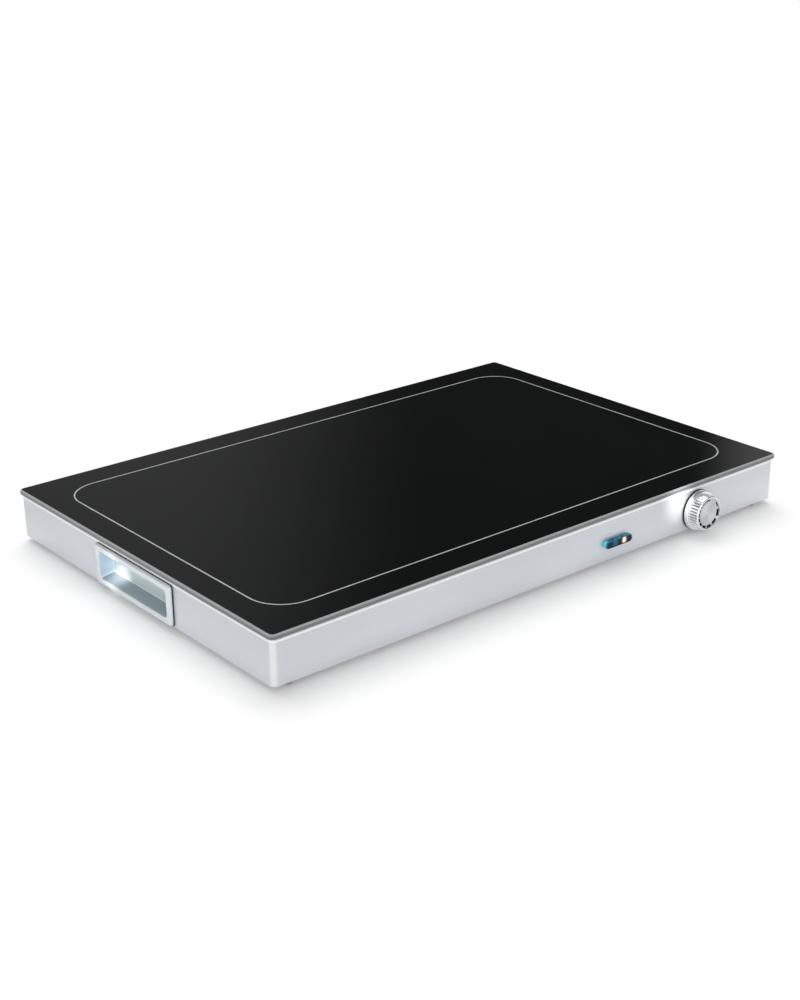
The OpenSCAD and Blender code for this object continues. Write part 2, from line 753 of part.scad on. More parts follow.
// Spindle with its flange trapped between the mounting plate and the switch body
spindle_flange_r = spindle_d / 2 + 1.2;
module spindle() color([0.7, 0.7, 0.71]) on_front(dial_x, dial_z) {
    end_z = bore_end - 0.5;
    translate([0, 0, body_front - 6]) cylinder(d = spindle_d, h = 6 + dial_back - body_front);
    translate([0, 0, body_front - 1.6]) cylinder(r = spindle_flange_r, h = 1.5);
    translate([0, 0, dial_back]) linear_extrude(end_z - dial_back) spindle_shape(0);
}

thermo_plate_l = thermo_pitch + 12;
module thermostat_plate() color([0.72, 0.73, 0.74]) on_front(dial_x, dial_z) difference() {
    union() {
        slab(thermo_plate_t, body_front) round_rect(thermo_plate_l, thermo_h - 8, 3);
        translate([0, 0, -sheet_t]) cylinder(r = collar_r, h = sheet_t + 0.8);
    }
    translate([0, 0, body_front - cut])
        cylinder(r = spindle_d / 2 + spindle_fit, h = thermo_plate_t + sheet_t + 0.8 + 2 * cut);
    for (s = [-1, 1]) translate([s * thermo_pitch / 2, 0, body_front - cut])
        cylinder(d = thermo_screw_d + 2 * screw_fit, h = thermo_plate_t + 2 * cut);
}

module thermostat_body() color([0.2, 0.13, 0.1]) on_front(dial_x, dial_z) difference() {
    union() {
        slab(thermo_d - 6, body_front - thermo_d + 6) round_rect(thermo_w, thermo_h, 3);
        slab(6, body_back) round_rect(thermo_w - 4, thermo_h - 4, 3);
    }
    translate([0, 0, body_front - 7]) cylinder(r = spindle_d / 2 + spindle_fit, h = 8);
    translate([0, 0, body_front - 1.8]) cylinder(r = spindle_flange_r + spindle_fit, h = 3);
    for (s = [-1, 1]) translate([s * thermo_pitch / 2, 0, body_front - 7])
        cylinder(d = thermo_screw_d + 2 * screw_fit, h = 8);
    for (s = [-1 : 1]) translate([s * thermo_tab_pitch, 0, body_back]) cube([tab_t, tab_w, 4], center = true);
}

module thermostat_tabs() color([0.8, 0.7, 0.4]) on_front(dial_x, dial_z)
    for (s = [-1 : 1]) translate([s * thermo_tab_pitch, 0, body_back - tab_l / 2 + 1])
        cube([tab_t, tab_w, tab_l + 2], center = true);

module thermostat_screws() color([0.75, 0.75, 0.76]) on_front(dial_x, dial_z)
    for (s = [-1, 1]) translate([s * thermo_pitch / 2, 0, 0]) rotate([180, 0, 0])
        pan_screw(thermo_screw_d, sheet_t + thermo_plate_t + 5);

// ---------------------------------------------------------------- sensor

cable_n = 2 * cable_loops;
cable_pitch = (spreader_w - 2 * cable_edge) / (cable_n - 1);
front_run_y = -spreader_w / 2 + cable_edge;
tail_x = dial_x - tail_set;
bulb_y = front_run_y + cable_pitch / 2;
bulb_x = tail_x - bulb_set;
bulb_z = spreader_z - cable_fit / 2 - bulb_d / 2;
capillary_top = spreader_z - cable_fit / 2 - capillary_d / 2;
port_z = dial_z + thermo_h / 2 - 5;
port_y = -band_w / 2 - body_back;
tube_bend = 6;
drop_y = -spreader_w / 2 - drop_set;

module sensor_bulb() color([0.75, 0.5, 0.35])
    translate([bulb_x - bulb_l, bulb_y, bulb_z]) rotate([0, 90, 0]) cylinder(d = bulb_d, h = bulb_l);

module capillary() color([0.75, 0.5, 0.35])
    let (x = dial_x - tube_side)
    wire([[bulb_x, bulb_y, capillary_top], [dial_x - tube_turn, bulb_y, capillary_top],
          [x, bulb_y - tube_jog, capillary_top], [x, drop_y, capillary_top],
          [x, drop_y, port_z], [x, port_y, port_z]], capillary_d, tube_bend, 6);

// Spring saddles that hold the bulb against the spreader
clip_t = 0.5;
clip_w = 6;
clip_wing = 4;
module sensor_clips() color([0.7, 0.71, 0.72])
    for (x = [0.25, 0.75]) translate([bulb_x - bulb_l * x - clip_w / 2, bulb_y, spreader_z])
        rotate([90, 0, 90]) linear_extrude(clip_w) difference() {
            hollow_r = bulb_d / 2 + screw_fit;
            centre = bulb_z - spreader_z;
            union() {
                translate([-hollow_r - clip_t, centre]) square([2 * (hollow_r + clip_t), -centre]);
                translate([0, centre]) circle(hollow_r + clip_t);
                translate([-hollow_r - clip_wing, -clip_t]) square([2 * (hollow_r + clip_wing), clip_t]);
            }
            translate([0, centre]) circle(hollow_r);
            translate([-hollow_r, centre]) square([2 * hollow_r, cut - centre]);
        }

// ---------------------------------------------------------------- indicator

lamp_inner_l = lamp_l - 2 * lamp_rim;
lamp_inner_h = lamp_h - 2 * lamp_rim;
sleeve_d = 6;
holder_d = 12;
holder_back = -sleeve_d - holder_d;
lamp_tab_x = 6;
lamp_tab_t = 0.5;
lamp_tab_w = 2.8;
lamp_tab_l = 5;

module indicator_rim() color([0.1, 0.55, 0.65]) on_front(lamp_x, lamp_z) difference() {
    union() {
        hull() {
            slab(lamp_proud - lamp_edge) pill(lamp_l, lamp_h);
            slab(lamp_proud) pill(lamp_l - lamp_edge * 1.5, lamp_h - lamp_edge * 1.5);
        }
        slab(sleeve_d + 0.1, -sleeve_d) pill(lamp_inner_l + 2 * lamp_wall, lamp_inner_h + 2 * lamp_wall);
    }
    slab(sleeve_d + lamp_proud + 2 * cut, -sleeve_d - cut) pill(lamp_inner_l, lamp_inner_h);
}

module indicator_lens() color([0.08, 0.16, 0.28]) on_front(lamp_x, lamp_z) difference() {
    slab(sleeve_d + lamp_proud - 0.4, -sleeve_d)
        pill(lamp_inner_l - 2 * screw_fit, lamp_inner_h - 2 * screw_fit);
    slab(sleeve_d + lamp_proud - 1.6, -sleeve_d - 0.1) pill(lamp_inner_l - 1.6, lamp_inner_h - 1.6);
}

module lamp_holder() color([0.12, 0.12, 0.12]) on_front(lamp_x, lamp_z) difference() {
    slab(holder_d, holder_back) pill(lamp_inner_l + 2 * lamp_wall, lamp_inner_h + 2 * lamp_wall);
    slab(holder_d - 2 + cut, holder_back + 2) pill(lamp_inner_l - 1.6, lamp_inner_h - 1.6);
    for (s = [-1, 1]) translate([s * lamp_tab_x, 0, holder_back + 1])
        cube([lamp_tab_t, lamp_tab_w, 2 + cut], center = true);
}

module glow_lamp() color([0.95, 0.5, 0.25]) on_front(lamp_x, lamp_z) {
    translate([glow_x, 0, holder_back + 2]) cylinder(d = 1.2, h = 4);
    translate([glow_x, 0, holder_back + 5.9]) cylinder(d = glow_d, h = 8);
    translate([glow_x, 0, holder_back + 13.9]) sphere(d = glow_d);
}

module lamp_tabs() color([0.8, 0.7, 0.4]) on_front(lamp_x, lamp_z)
    for (s = [-1, 1]) translate([s * lamp_tab_x, 0, holder_back - lamp_tab_l / 2 + 1])
        cube([lamp_tab_t, lamp_tab_w, lamp_tab_l + 2], center = true);

// Spring clip that holds the indicator against the wall from inside
module lamp_clip() color([0.7, 0.71, 0.72]) on_front(lamp_x, lamp_z)
    slab(0.8, -sheet_t - 0.8) difference() {
        round_rect(lamp_l + 6, lamp_h + 4, 2);
        pill(lamp_inner_l + 2 * lamp_wall + 2 * screw_fit, lamp_inner_h + 2 * lamp_wall + 2 * screw_fit);
    }

// ---------------------------------------------------------------- heater

module heat_spreader() color([0.8, 0.81, 0.82])
    slab(spreader_t, spreader_z) round_rect(spreader_l, spreader_w, spreader_r);

cable_left = -spreader_l / 2 + cable_end + cable_pitch / 2;
cable_right = spreader_l / 2 - cable_end - cable_pitch / 2;
tail_r = 8;
tail_drop_r = 5;
fuse_l = 22;
function run_y(k) = front_run_y + k * cable_pitch;

module cable_rod(l) cylinder(d = cable_d, h = l);
module cable_bend(r, angle) rotate_extrude(angle = angle) translate([r, 0]) circle(d = cable_d);

// Tail of the cable: turns to the edge of the spreader and down past the pan
module cable_tail() {
    out = -drop_y + front_run_y - tail_r - tail_drop_r;
    translate([0, -tail_r, 0]) cable_bend(tail_r, 90);
    translate([tail_r, -tail_r, 0]) rotate([90, 0, 0]) cable_rod(out);
    translate([tail_r, -tail_r - out, -tail_drop_r]) rotate([90, 0, -90]) cable_bend(tail_drop_r, 90);
    translate([tail_r, -tail_r - out - tail_drop_r, -tail_drop_r]) rotate([180, 0, 0])
        cable_rod(cable_z - tail_drop_r - splice_z - splice_l);
}

module heating_cable() color([0.85, 0.3, 0.2]) translate([0, 0, cable_z]) {
    last = cable_n - 1;
    short_end = tail_x - tail_r;
    for (k = [0 : last]) {
        right = k == 0 ? short_end : k == last ? short_end - fuse_l : cable_right;
        translate([cable_left, run_y(k), 0]) rotate([0, 90, 0]) cable_rod(right - cable_left);
    }
    for (k = [0 : 2 : last]) translate([cable_left, run_y(k) + cable_pitch / 2, 0])
        rotate([0, 0, 90]) cable_bend(cable_pitch / 2, 180);
    for (k = [1 : 2 : last - 1]) translate([cable_right, run_y(k) + cable_pitch / 2, 0])
        rotate([0, 0, -90]) cable_bend(cable_pitch / 2, 180);
    translate([short_end, run_y(0), 0]) cable_tail();
    translate([short_end, run_y(last), 0]) mirror([0, 1, 0]) cable_tail();
}

module thermal_fuse() color([0.92, 0.92, 0.88])
    translate([tail_x - tail_r - fuse_l, run_y(cable_n - 1), cable_z]) rotate([0, 90, 0])
        cable_rod(fuse_l);

strap_half = -front_run_y + cable_d / 2 + 2;
strap_foot = 8;
// Places of the straps: past the left bends, left of the bulb, right of its tube, and one between
strap_xs = let (left = cable_left + strap_end,
                by_bulb = bulb_x - bulb_l - strap_gap - strap_w / 2,
                by_tube = dial_x - tube_side + capillary_d / 2 + strap_gap + strap_w / 2)
    [left, (left + by_bulb) / 2, by_bulb, by_tube];

module cable_straps() color([0.72, 0.73, 0.74])
    for (x = strap_xs) translate([x - strap_w / 2, 0, strap_z]) difference() {
        rotate([90, 0, 90]) linear_extrude(strap_w) {
            rise = spreader_z - strap_z;
            translate([-strap_half - strap_t, 0]) square([2 * strap_half + 2 * strap_t, strap_t]);
            for (s = [-1, 1]) {
                translate([s * (strap_half + strap_t / 2) - strap_t / 2, 0]) square([strap_t, rise]);
                translate([s * (strap_half + strap_foot / 2) - strap_foot / 2, rise - strap_t])
                    square([strap_foot, strap_t]);
            }
        }
        for (s = [-1, 1]) translate([strap_w / 2, s * (strap_half + strap_foot - 3), 0])
            cylinder(r = rivet_r + screw_fit, h = spreader_z - strap_z + cut);
    }

rivet_r = 1.2;
module strap_rivets() color([0.75, 0.75, 0.76])
    for (x = strap_xs, s = [-1, 1])
        translate([x, s * (strap_half + strap_foot - 3), spreader_z - strap_t - 0.8]) {
            cylinder(r1 = 1.8, r2 = 2.4, h = 0.8);
            cylinder(r = rivet_r, h = strap_t + 0.8);
        }

module insulation_mat() color([0.93, 0.92, 0.88])
    slab(mat_t, mat_z) round_rect(spreader_l, spreader_w, spreader_r);

module reflector_pan() color([0.75, 0.76, 0.77]) translate([0, 0, pan_z]) difference() {
    slab(pan_rim) round_rect(pan_l, pan_w, spreader_r + mat_fit + pan_t);
    slab(pan_rim, pan_t) round_rect(pan_l - 2 * pan_t, pan_w - 2 * pan_t, spreader_r + mat_fit);
}

// Top-hat channels from the front wall to the back wall, under the pan
module cross_braces() color([0.68, 0.69, 0.7])
    for (x = brace_xs) translate([x, band_w / 2 - sheet_t - fit, flange_z]) rotate([90, 0, 0])
        linear_extrude(band_w - 2 * sheet_t - 2 * fit) {
            h = pan_z - flange_z;
            translate([-brace_w / 2, h - brace_t]) square([brace_w, brace_t]);
            for (s = [-1, 1]) {
                translate([s * (brace_w - brace_t) / 2 - brace_t / 2, 0]) square([brace_t, h]);
                translate([s * (brace_w + brace_foot) / 2 - brace_foot / 2 - brace_t / 2, 0])
                    square([brace_foot + brace_t, brace_t]);
            }
        }

// ---------------------------------------------------------------- mains inlet

inlet_l = 27.4;
inlet_h = 20;
inlet_wall = 1.5;
inlet_floor = -14;
inlet_floor_t = 2;
inlet_screw_d = 3;
inlet_pin_x = 7;
inlet_pin_y = 2;
inlet_pin = [2, 4];
inlet_tab = [0.8, 4.8];
inlet_tab_l = 8;

// Outline of the socket: a rectangle with its two upper corners cut off
module socket_shape(l, h, corner) polygon([
    [-l / 2, -h / 2], [l / 2, -h / 2], [l / 2, h / 2 - corner],
    [l / 2 - corner, h / 2], [-l / 2 + corner, h / 2], [-l / 2, h / 2 - corner]]);

function inlet_pins_at() = [[-inlet_pin_x, -inlet_pin_y], [inlet_pin_x, -inlet_pin_y], [0, inlet_pin_y]];

module inlet_housing() color([0.05, 0.05, 0.05]) on_back(inlet_x, inlet_z) difference() {
    union() {
        slab(inlet_flange_t) round_rect(inlet_pitch + 9.5, inlet_h + 4, 5);
        slab(0.1 - inlet_floor + inlet_floor_t, inlet_floor - inlet_floor_t)
            socket_shape(inlet_l, inlet_h, 5);
    }
    slab(inlet_flange_t - inlet_floor + cut, inlet_floor)
        socket_shape(inlet_l - 2 * inlet_wall, inlet_h - 2 * inlet_wall, 4.5);
    for (p = inlet_pins_at()) translate([p.x, p.y, inlet_floor])
        cube([inlet_pin.x, inlet_pin.y, 2 * inlet_floor_t + cut], center = true);
    for (s = [-1, 1]) translate([s * inlet_pitch / 2, 0, 0]) {
        translate([0, 0, -cut]) cylinder(d = inlet_screw_d + 2 * screw_fit, h = inlet_flange_t + 2 * cut);
        translate([0, 0, inlet_flange_t - 1.4])
            cylinder(d1 = inlet_screw_d + 2 * screw_fit, d2 = 6.2, h = 1.41);
    }
}

module inlet_pins() color([0.8, 0.7, 0.4]) on_back(inlet_x, inlet_z)
    for (p = inlet_pins_at()) translate([p.x, p.y, 0]) {
        back = inlet_floor - inlet_floor_t;
        slab(inlet_flange_t - 1.5 - back, back) square(inlet_pin, center = true);
        slab(inlet_tab_l + 0.1, back - inlet_tab_l) square(inlet_tab, center = true);
    }

module inlet_screws() color([0.75, 0.75, 0.76]) on_back(inlet_x, inlet_z)
    for (s = [-1, 1]) translate([s * inlet_pitch / 2, 0, 0]) {
        difference() {
            union() {
                translate([0, 0, inlet_flange_t - 1.4]) cylinder(d1 = inlet_screw_d, d2 = 6, h = 1.4);
                translate([0, 0, -sheet_t - 4]) cylinder(d = inlet_screw_d, h = sheet_t + 4 + inlet_flange_t - 1.4);
            }
            for (a = [0, 90]) rotate([0, 0, a]) translate([0, 0, inlet_flange_t]) cube([3.6, 0.7, 1.2], center = true);
        }
        translate([0, 0, -sheet_t - 2.4]) hex_nut(inlet_screw_d, 2.4);
    }

// ---------------------------------------------------------------- wiring

block_x = band_l / 2 - block_end;
block_l = 34;
block_w = 18;
block_h = 13;
block_pitch = 10;
lead_z = floor_z + 6.5;
earth_side = 19;
earth_set = 16;
earth_x = inlet_x + earth_side;
earth_y = band_w / 2 - earth_set;
splice_z = floor_z + 8;
splice_l = 14;
sleeve_wall = 1.1;
sleeve_l = 13;
sleeve_gap = 0.4;

module terminal_block() color([0.93, 0.92, 0.88]) translate([block_x, block_y, floor_z]) difference() {
    union() {
        slab(4) round_rect(block_l, block_w, 2);
        for (k = [-1 : 1]) translate([k * block_pitch, 0, 0])
            slab(block_h) round_rect(block_pitch - 1.5, block_w - 3, 2);
    }
    for (k = [-1 : 1]) translate([k * block_pitch, 0, 0]) {
        translate([0, block_w / 2, lead_z - floor_z]) rotate([90, 0, 0])
            cylinder(d = lead_d + 2 * screw_fit, h = block_w);
        translate([0, 0, lead_z - floor_z]) cylinder(d = 3.5 + 2 * screw_fit, h = block_h);
    }
}

module terminal_screws() color([0.8, 0.7, 0.4])
    for (k = [-1 : 1]) translate([block_x + k * block_pitch, block_y, lead_z + lead_d / 2 + 0.05])
        difference() {
            cylinder(d = 3.5, h = 3.5);
            translate([0, 0, 3.5]) cube([4, 0.7, 1.6], center = true);
        }

module earth_stud() color([0.8, 0.7, 0.4]) translate([earth_x, earth_y, floor_z]) {
    cylinder(d = 4, h = 10);
    difference() {
        cylinder(r = 4.6, h = 1);
        translate([0, 0, -cut]) cylinder(d = 3.9, h = 1 + 2 * cut);
    }
    translate([0, 0, 1]) cylinder(r = 3.9, h = 3, $fn = 6);
    translate([0, -6.5, 1.6]) rotate([90, 0, 0]) cylinder(d = lead_d + 0.8, h = 3);
    translate([-1.2, -7, 0]) cube([2.4, 4, 1]);
}

// Push-on sleeve over a tab that points along -z from its root
module tab_sleeve(tab, l) translate([0, 0, -sleeve_l - sleeve_gap]) difference() {
    slab(sleeve_l) square([tab.x + 2 * sleeve_wall, tab.y + 2 * sleeve_wall], center = true);
    slab(l + cut, sleeve_l - l) square([tab.x + 0.1, tab.y + 0.1], center = true);
}

module tab_sleeves() color([0.85, 0.25, 0.2]) {
    on_front(dial_x, dial_z) for (s = [-1 : 1])
        translate([s * thermo_tab_pitch, 0, body_back]) tab_sleeve([tab_t, tab_w], tab_l);
    on_front(lamp_x, lamp_z) for (s = [-1, 1])
        translate([s * lamp_tab_x, 0, holder_back]) tab_sleeve([lamp_tab_t, lamp_tab_w], lamp_tab_l);
    on_back(inlet_x, inlet_z) for (p = inlet_pins_at())
        translate([p.x, p.y, inlet_floor - inlet_floor_t]) tab_sleeve(inlet_tab, inlet_tab_l);
}

// Where the leads leave their sleeves
sleeve_reach = sleeve_l + sleeve_gap;
thermo_end_y = -band_w / 2 - body_back + sleeve_reach;
lamp_end_y = -band_w / 2 - holder_back + sleeve_reach;
inlet_end_y = band_w / 2 + inlet_floor - inlet_floor_t - sleeve_reach;
function thermo_end(s) = [dial_x + s * thermo_tab_pitch, thermo_end_y, dial_z];
function lamp_end(s) = [lamp_x + s * lamp_tab_x, lamp_end_y, lamp_z];
function inlet_end_at(p) = [inlet_x - p.x, inlet_end_y, inlet_z + p.y];
function block_end_at(k, s) = [block_x + k * block_pitch, block_y + s * block_w / 4, lead_z];

module splices() color([0.85, 0.25, 0.2]) for (s = [-1, 1])
    translate([tail_x, s * -drop_y, splice_z]) cylinder(d = cable_d + 1, h = splice_l);

// Straight start of a lead, and the distances at which each lead turns off
lead_start = 12;
load_start = 10;
load_side = 6;
load_turn = 14;
load_back = 8;
load_rise = 4;
lamp_turn = 26;
lamp_start = 10;
feed_turn = 40;
source_turn = 34;
way_start = 26;
return_start = 50;
return_set = 18;
lamp_way_start = 40;
lamp_way_turn = 30;

module live_leads() color([0.45, 0.25, 0.12]) {
    load = thermo_end(-1);
    lamp = thermo_end(0);
    feed = thermo_end(1);
    source = inlet_end_at([-inlet_pin_x, -inlet_pin_y]);
    wire([load, load + [0, load_start, 0],
          [load.x - load_side, load.y + load_turn, splice_z + load_rise],
          [tail_x, load.y + load_back, splice_z - lead_d], [tail_x, drop_y, splice_z - lead_d],
          [tail_x, drop_y, splice_z]], lead_d, lead_bend);
    wire([lamp, lamp + [0, lead_start, 0], [lamp.x - load_side, lamp.y + lamp_turn, lead_z],
          [lamp_end(1).x + load_side, lamp.y + lamp_turn, lead_z],
          lamp_end(1) + [0, lead_start, 0], lamp_end(1)], lead_d, lead_bend);
    wire([feed, feed + [0, lead_start, 0], [feed.x, feed.y + feed_turn, lead_z],
          [source.x, source.y - feed_turn, lead_z], source - [0, lead_start, 0], source],
         lead_d, lead_bend);
}

module neutral_leads() color([0.15, 0.35, 0.75]) {
    source = inlet_end_at([inlet_pin_x, -inlet_pin_y]);
    inlet_way = block_end_at(1, 1);
    return_way = block_end_at(0, 1);
    lamp_way = block_end_at(-1, -1);
    wire([source, source - [0, lead_start, 0], [source.x, source.y - source_turn, lead_z],
          inlet_way + [0, way_start, 0], inlet_way], lead_d, lead_bend);
    wire([return_way, return_way + [0, return_start, 0],
          [tail_x, -drop_y - return_set, splice_z - lead_d],
          [tail_x, -drop_y, splice_z - lead_d], [tail_x, -drop_y, splice_z]], lead_d, lead_bend);
    wire([lamp_way, lamp_way - [0, lamp_way_start, 0],
          [lamp_end(-1).x, lamp_end_y + lamp_way_turn, lead_z],
          lamp_end(-1) + [0, lamp_start, 0], lamp_end(-1)], lead_d, lead_bend);
}

module earth_lead() color([0.35, 0.65, 0.2]) {
    source = inlet_end_at([0, inlet_pin_y]);
    foot = [earth_x, earth_y - 9.5, floor_z + 1.6];
    wire([source, source - [0, 4, 0], [earth_x, source.y - 4, source.z],
          [earth_x, source.y - 4, foot.z], foot], lead_d, 3);
}

// ---------------------------------------------------------------- placing

module placed() translate([0, tray_y, 0]) children();

placed() glass_top();
placed() zone_line();
placed() glass_seal();
placed() side_band();
placed() base_plate();
placed() base_screws();
placed() feet();
placed() foot_screws();
placed() foot_nuts();
placed() handle_left();
placed() handle_right();
placed() handle_gasket_left();
placed() handle_gasket_right();
placed() handle_yokes();
placed() yoke_screws();
placed() dial_ring();
placed() dial();
placed() dial_face();
placed() dial_marks();
placed() spindle();
placed() thermostat_plate();
placed() thermostat_body();
placed() thermostat_tabs();
placed() thermostat_screws();
placed() sensor_bulb();
placed() capillary();
placed() sensor_clips();
placed() indicator_rim();
placed() indicator_lens();
placed() glow_lamp();
placed() lamp_holder();
placed() lamp_tabs();
placed() lamp_clip();
placed() heat_spreader();
placed() heating_cable();
placed() cable_straps();
placed() strap_rivets();
placed() thermal_fuse();
placed() insulation_mat();
placed() reflector_pan();
placed() cross_braces();
placed() inlet_housing();
placed() inlet_pins();
placed() inlet_screws();
placed() terminal_block();
placed() terminal_screws();
placed() earth_stud();
placed() tab_sleeves();
placed() splices();
placed() live_leads();
placed() neutral_leads();
placed() earth_lead();
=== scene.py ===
"""Electric food warmer tray: studio, camera, finishes and the smooth moulded pieces."""

import json
import logging
import math
from dataclasses import dataclass
from enum import Enum
from typing import Any, Sequence

import bmesh
import bpy
from mathutils import Matrix, Vector


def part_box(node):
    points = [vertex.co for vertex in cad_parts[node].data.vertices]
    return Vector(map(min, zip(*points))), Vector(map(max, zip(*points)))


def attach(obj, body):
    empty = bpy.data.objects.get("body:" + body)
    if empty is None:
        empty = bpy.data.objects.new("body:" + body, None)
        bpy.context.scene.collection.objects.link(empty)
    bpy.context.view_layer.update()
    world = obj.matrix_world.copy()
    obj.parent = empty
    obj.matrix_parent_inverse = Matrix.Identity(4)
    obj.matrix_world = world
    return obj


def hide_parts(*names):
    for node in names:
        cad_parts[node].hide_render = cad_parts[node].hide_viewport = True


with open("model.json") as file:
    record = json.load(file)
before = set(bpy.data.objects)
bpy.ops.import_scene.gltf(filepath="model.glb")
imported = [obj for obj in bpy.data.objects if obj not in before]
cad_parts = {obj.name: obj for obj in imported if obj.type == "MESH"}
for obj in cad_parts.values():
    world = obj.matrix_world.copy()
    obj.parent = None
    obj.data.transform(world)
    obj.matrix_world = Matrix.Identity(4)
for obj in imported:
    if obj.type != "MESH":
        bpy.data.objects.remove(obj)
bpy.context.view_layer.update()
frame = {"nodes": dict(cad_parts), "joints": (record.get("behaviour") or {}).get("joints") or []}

log = logging.getLogger("food_warmer")

Colour = tuple[float, float, float]
Triple = tuple[float, float, float]
Span = tuple[float, float]
Change = tuple[float, float, float, float]
Profile = tuple[tuple[float, ...], ...]

MM = 0.001
# Keeps two outlines at one level apart.
HAIR = 0.01 * MM
# Edges sharper than this stay sharp.
CREASE = math.radians(42)
# Holds most of a noise's values.
MOST: Span = (0.3, 0.7)

# Places that the finishes and the smooth pieces start from: corners, middles and sizes of the
# band, the left grip and the indicator's pill, and the dial's axis.
BAND_LOW, BAND_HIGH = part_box("side_band")
GRIP_LOW, GRIP_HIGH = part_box("handle_left")
GRIP, GRIP_SIZE = (GRIP_LOW + GRIP_HIGH) / 2, GRIP_HIGH - GRIP_LOW
PILL_LOW, PILL_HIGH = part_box("indicator_rim")
PILL, PILL_SIZE = (PILL_LOW + PILL_HIGH) / 2, PILL_HIGH - PILL_LOW
DIAL_LOW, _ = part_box("dial")
DIAL = Vector(next(joint for joint in frame["joints"] if joint["name"] == "dial_turn")["pos_m"])


# ---------------------------------------------------------------- shader helpers


class Value:
    """A number socket of a node tree that takes part in Python arithmetic."""

    def __init__(self, maker: "NodeMaker", socket: Any) -> None:
        """Wraps a socket.

        Args:
            maker: the tree that the socket belongs to.
            socket: the output socket.
        """
        self.maker = maker
        self.socket = socket

    def _math(self, operation: str, a: Any, b: Any = None) -> "Value":
        """Adds one Math node and returns its output.

        Args:
            operation: the Math node's operation.
            a: its first value.
            b: its second value, if it takes one.

        Returns:
            The result as a Value.
        """
        inputs = {0: a} if b is None else {0: a, 1: b}
        return self.maker.node("ShaderNodeMath", {"operation": operation}, inputs).value(0)

    def __add__(self, other: Any) -> "Value":
        """self + other."""
        return self._math("ADD", self, other)

    def __radd__(self, other: Any) -> "Value":
        """other + self."""
        return self._math("ADD", other, self)

    def __sub__(self, other: Any) -> "Value":
        """self - other."""
        return self._math("SUBTRACT", self, other)

    def __rsub__(self, other: Any) -> "Value":
        """other - self."""
        return self._math("SUBTRACT", other, self)

    def __mul__(self, other: Any) -> "Value":
        """self * other."""
        return self._math("MULTIPLY", self, other)

    def __rmul__(self, other: Any) -> "Value":
        """other * self."""
        return self._math("MULTIPLY", other, self)

    def __truediv__(self, other: Any) -> "Value":
        """self / other."""
        return self._math("DIVIDE", self, other)

    def __gt__(self, other: Any) -> "Value":
        """1 where self is greater than other."""
        return self._math("GREATER_THAN", self, other)

    def __lt__(self, other: Any) -> "Value":
        """1 where self is less than other."""
        return self._math("LESS_THAN", self, other)

    def __abs__(self) -> "Value":
        """The size of self without its sign."""
        return self._math("ABSOLUTE", self)

    def bigger(self, other: Any) -> "Value":
        """The larger of self and other."""
        return self._math("MAXIMUM", self, other)

    def smaller(self, other: Any) -> "Value":
        """The smaller of self and other."""
        return self._math("MINIMUM", self, other)

    def root(self) -> "Value":
        """The square root of self."""
        return self._math("SQRT", self)

    def sine(self) -> "Value":
        """The sine of self, in radians."""
        return self._math("SINE", self)

    def cosine(self) -> "Value":
        """The cosine of self, in radians."""
        return self._math("COSINE", self)

    def bearing(self, across: "Value") -> "Value":
        """The angle whose tangent is self over across, in radians."""
        return self._math("ARCTAN2", self, across)

    def ramp(self, low: float, high: float, to_low: float = 0.0, to_high: float = 1.0) -> "Value":
        """Maps low..high smoothly to to_low..to_high and holds it outside.

        Args:
            low: the value that gives to_low.
            high: the value that gives to_high.
            to_low: the result at low.
            to_high: the result at high.

        Returns:
            The mapped value.
        """
        return self.maker.node(
            "ShaderNodeMapRange", {"interpolation_type": "SMOOTHSTEP"},
            {"Value": self, "From Min": low, "From Max": high, "To Min": to_low, "To Max": to_high},
        ).value("Result")


class Node:
    """A shader node that was just made."""

    def __init__(self, maker: "NodeMaker", node: Any) -> None:
        """Keeps the maker and the node."""
        self.maker = maker
        self.node = node

    def out(self, key: int | str = 0) -> Any:
        """The output socket with that name or number."""
        return self.node.outputs[key]

    def value(self, key: int | str = 0) -> Value:
        """The output socket as a Value."""
        return Value(self.maker, self.node.outputs[key])


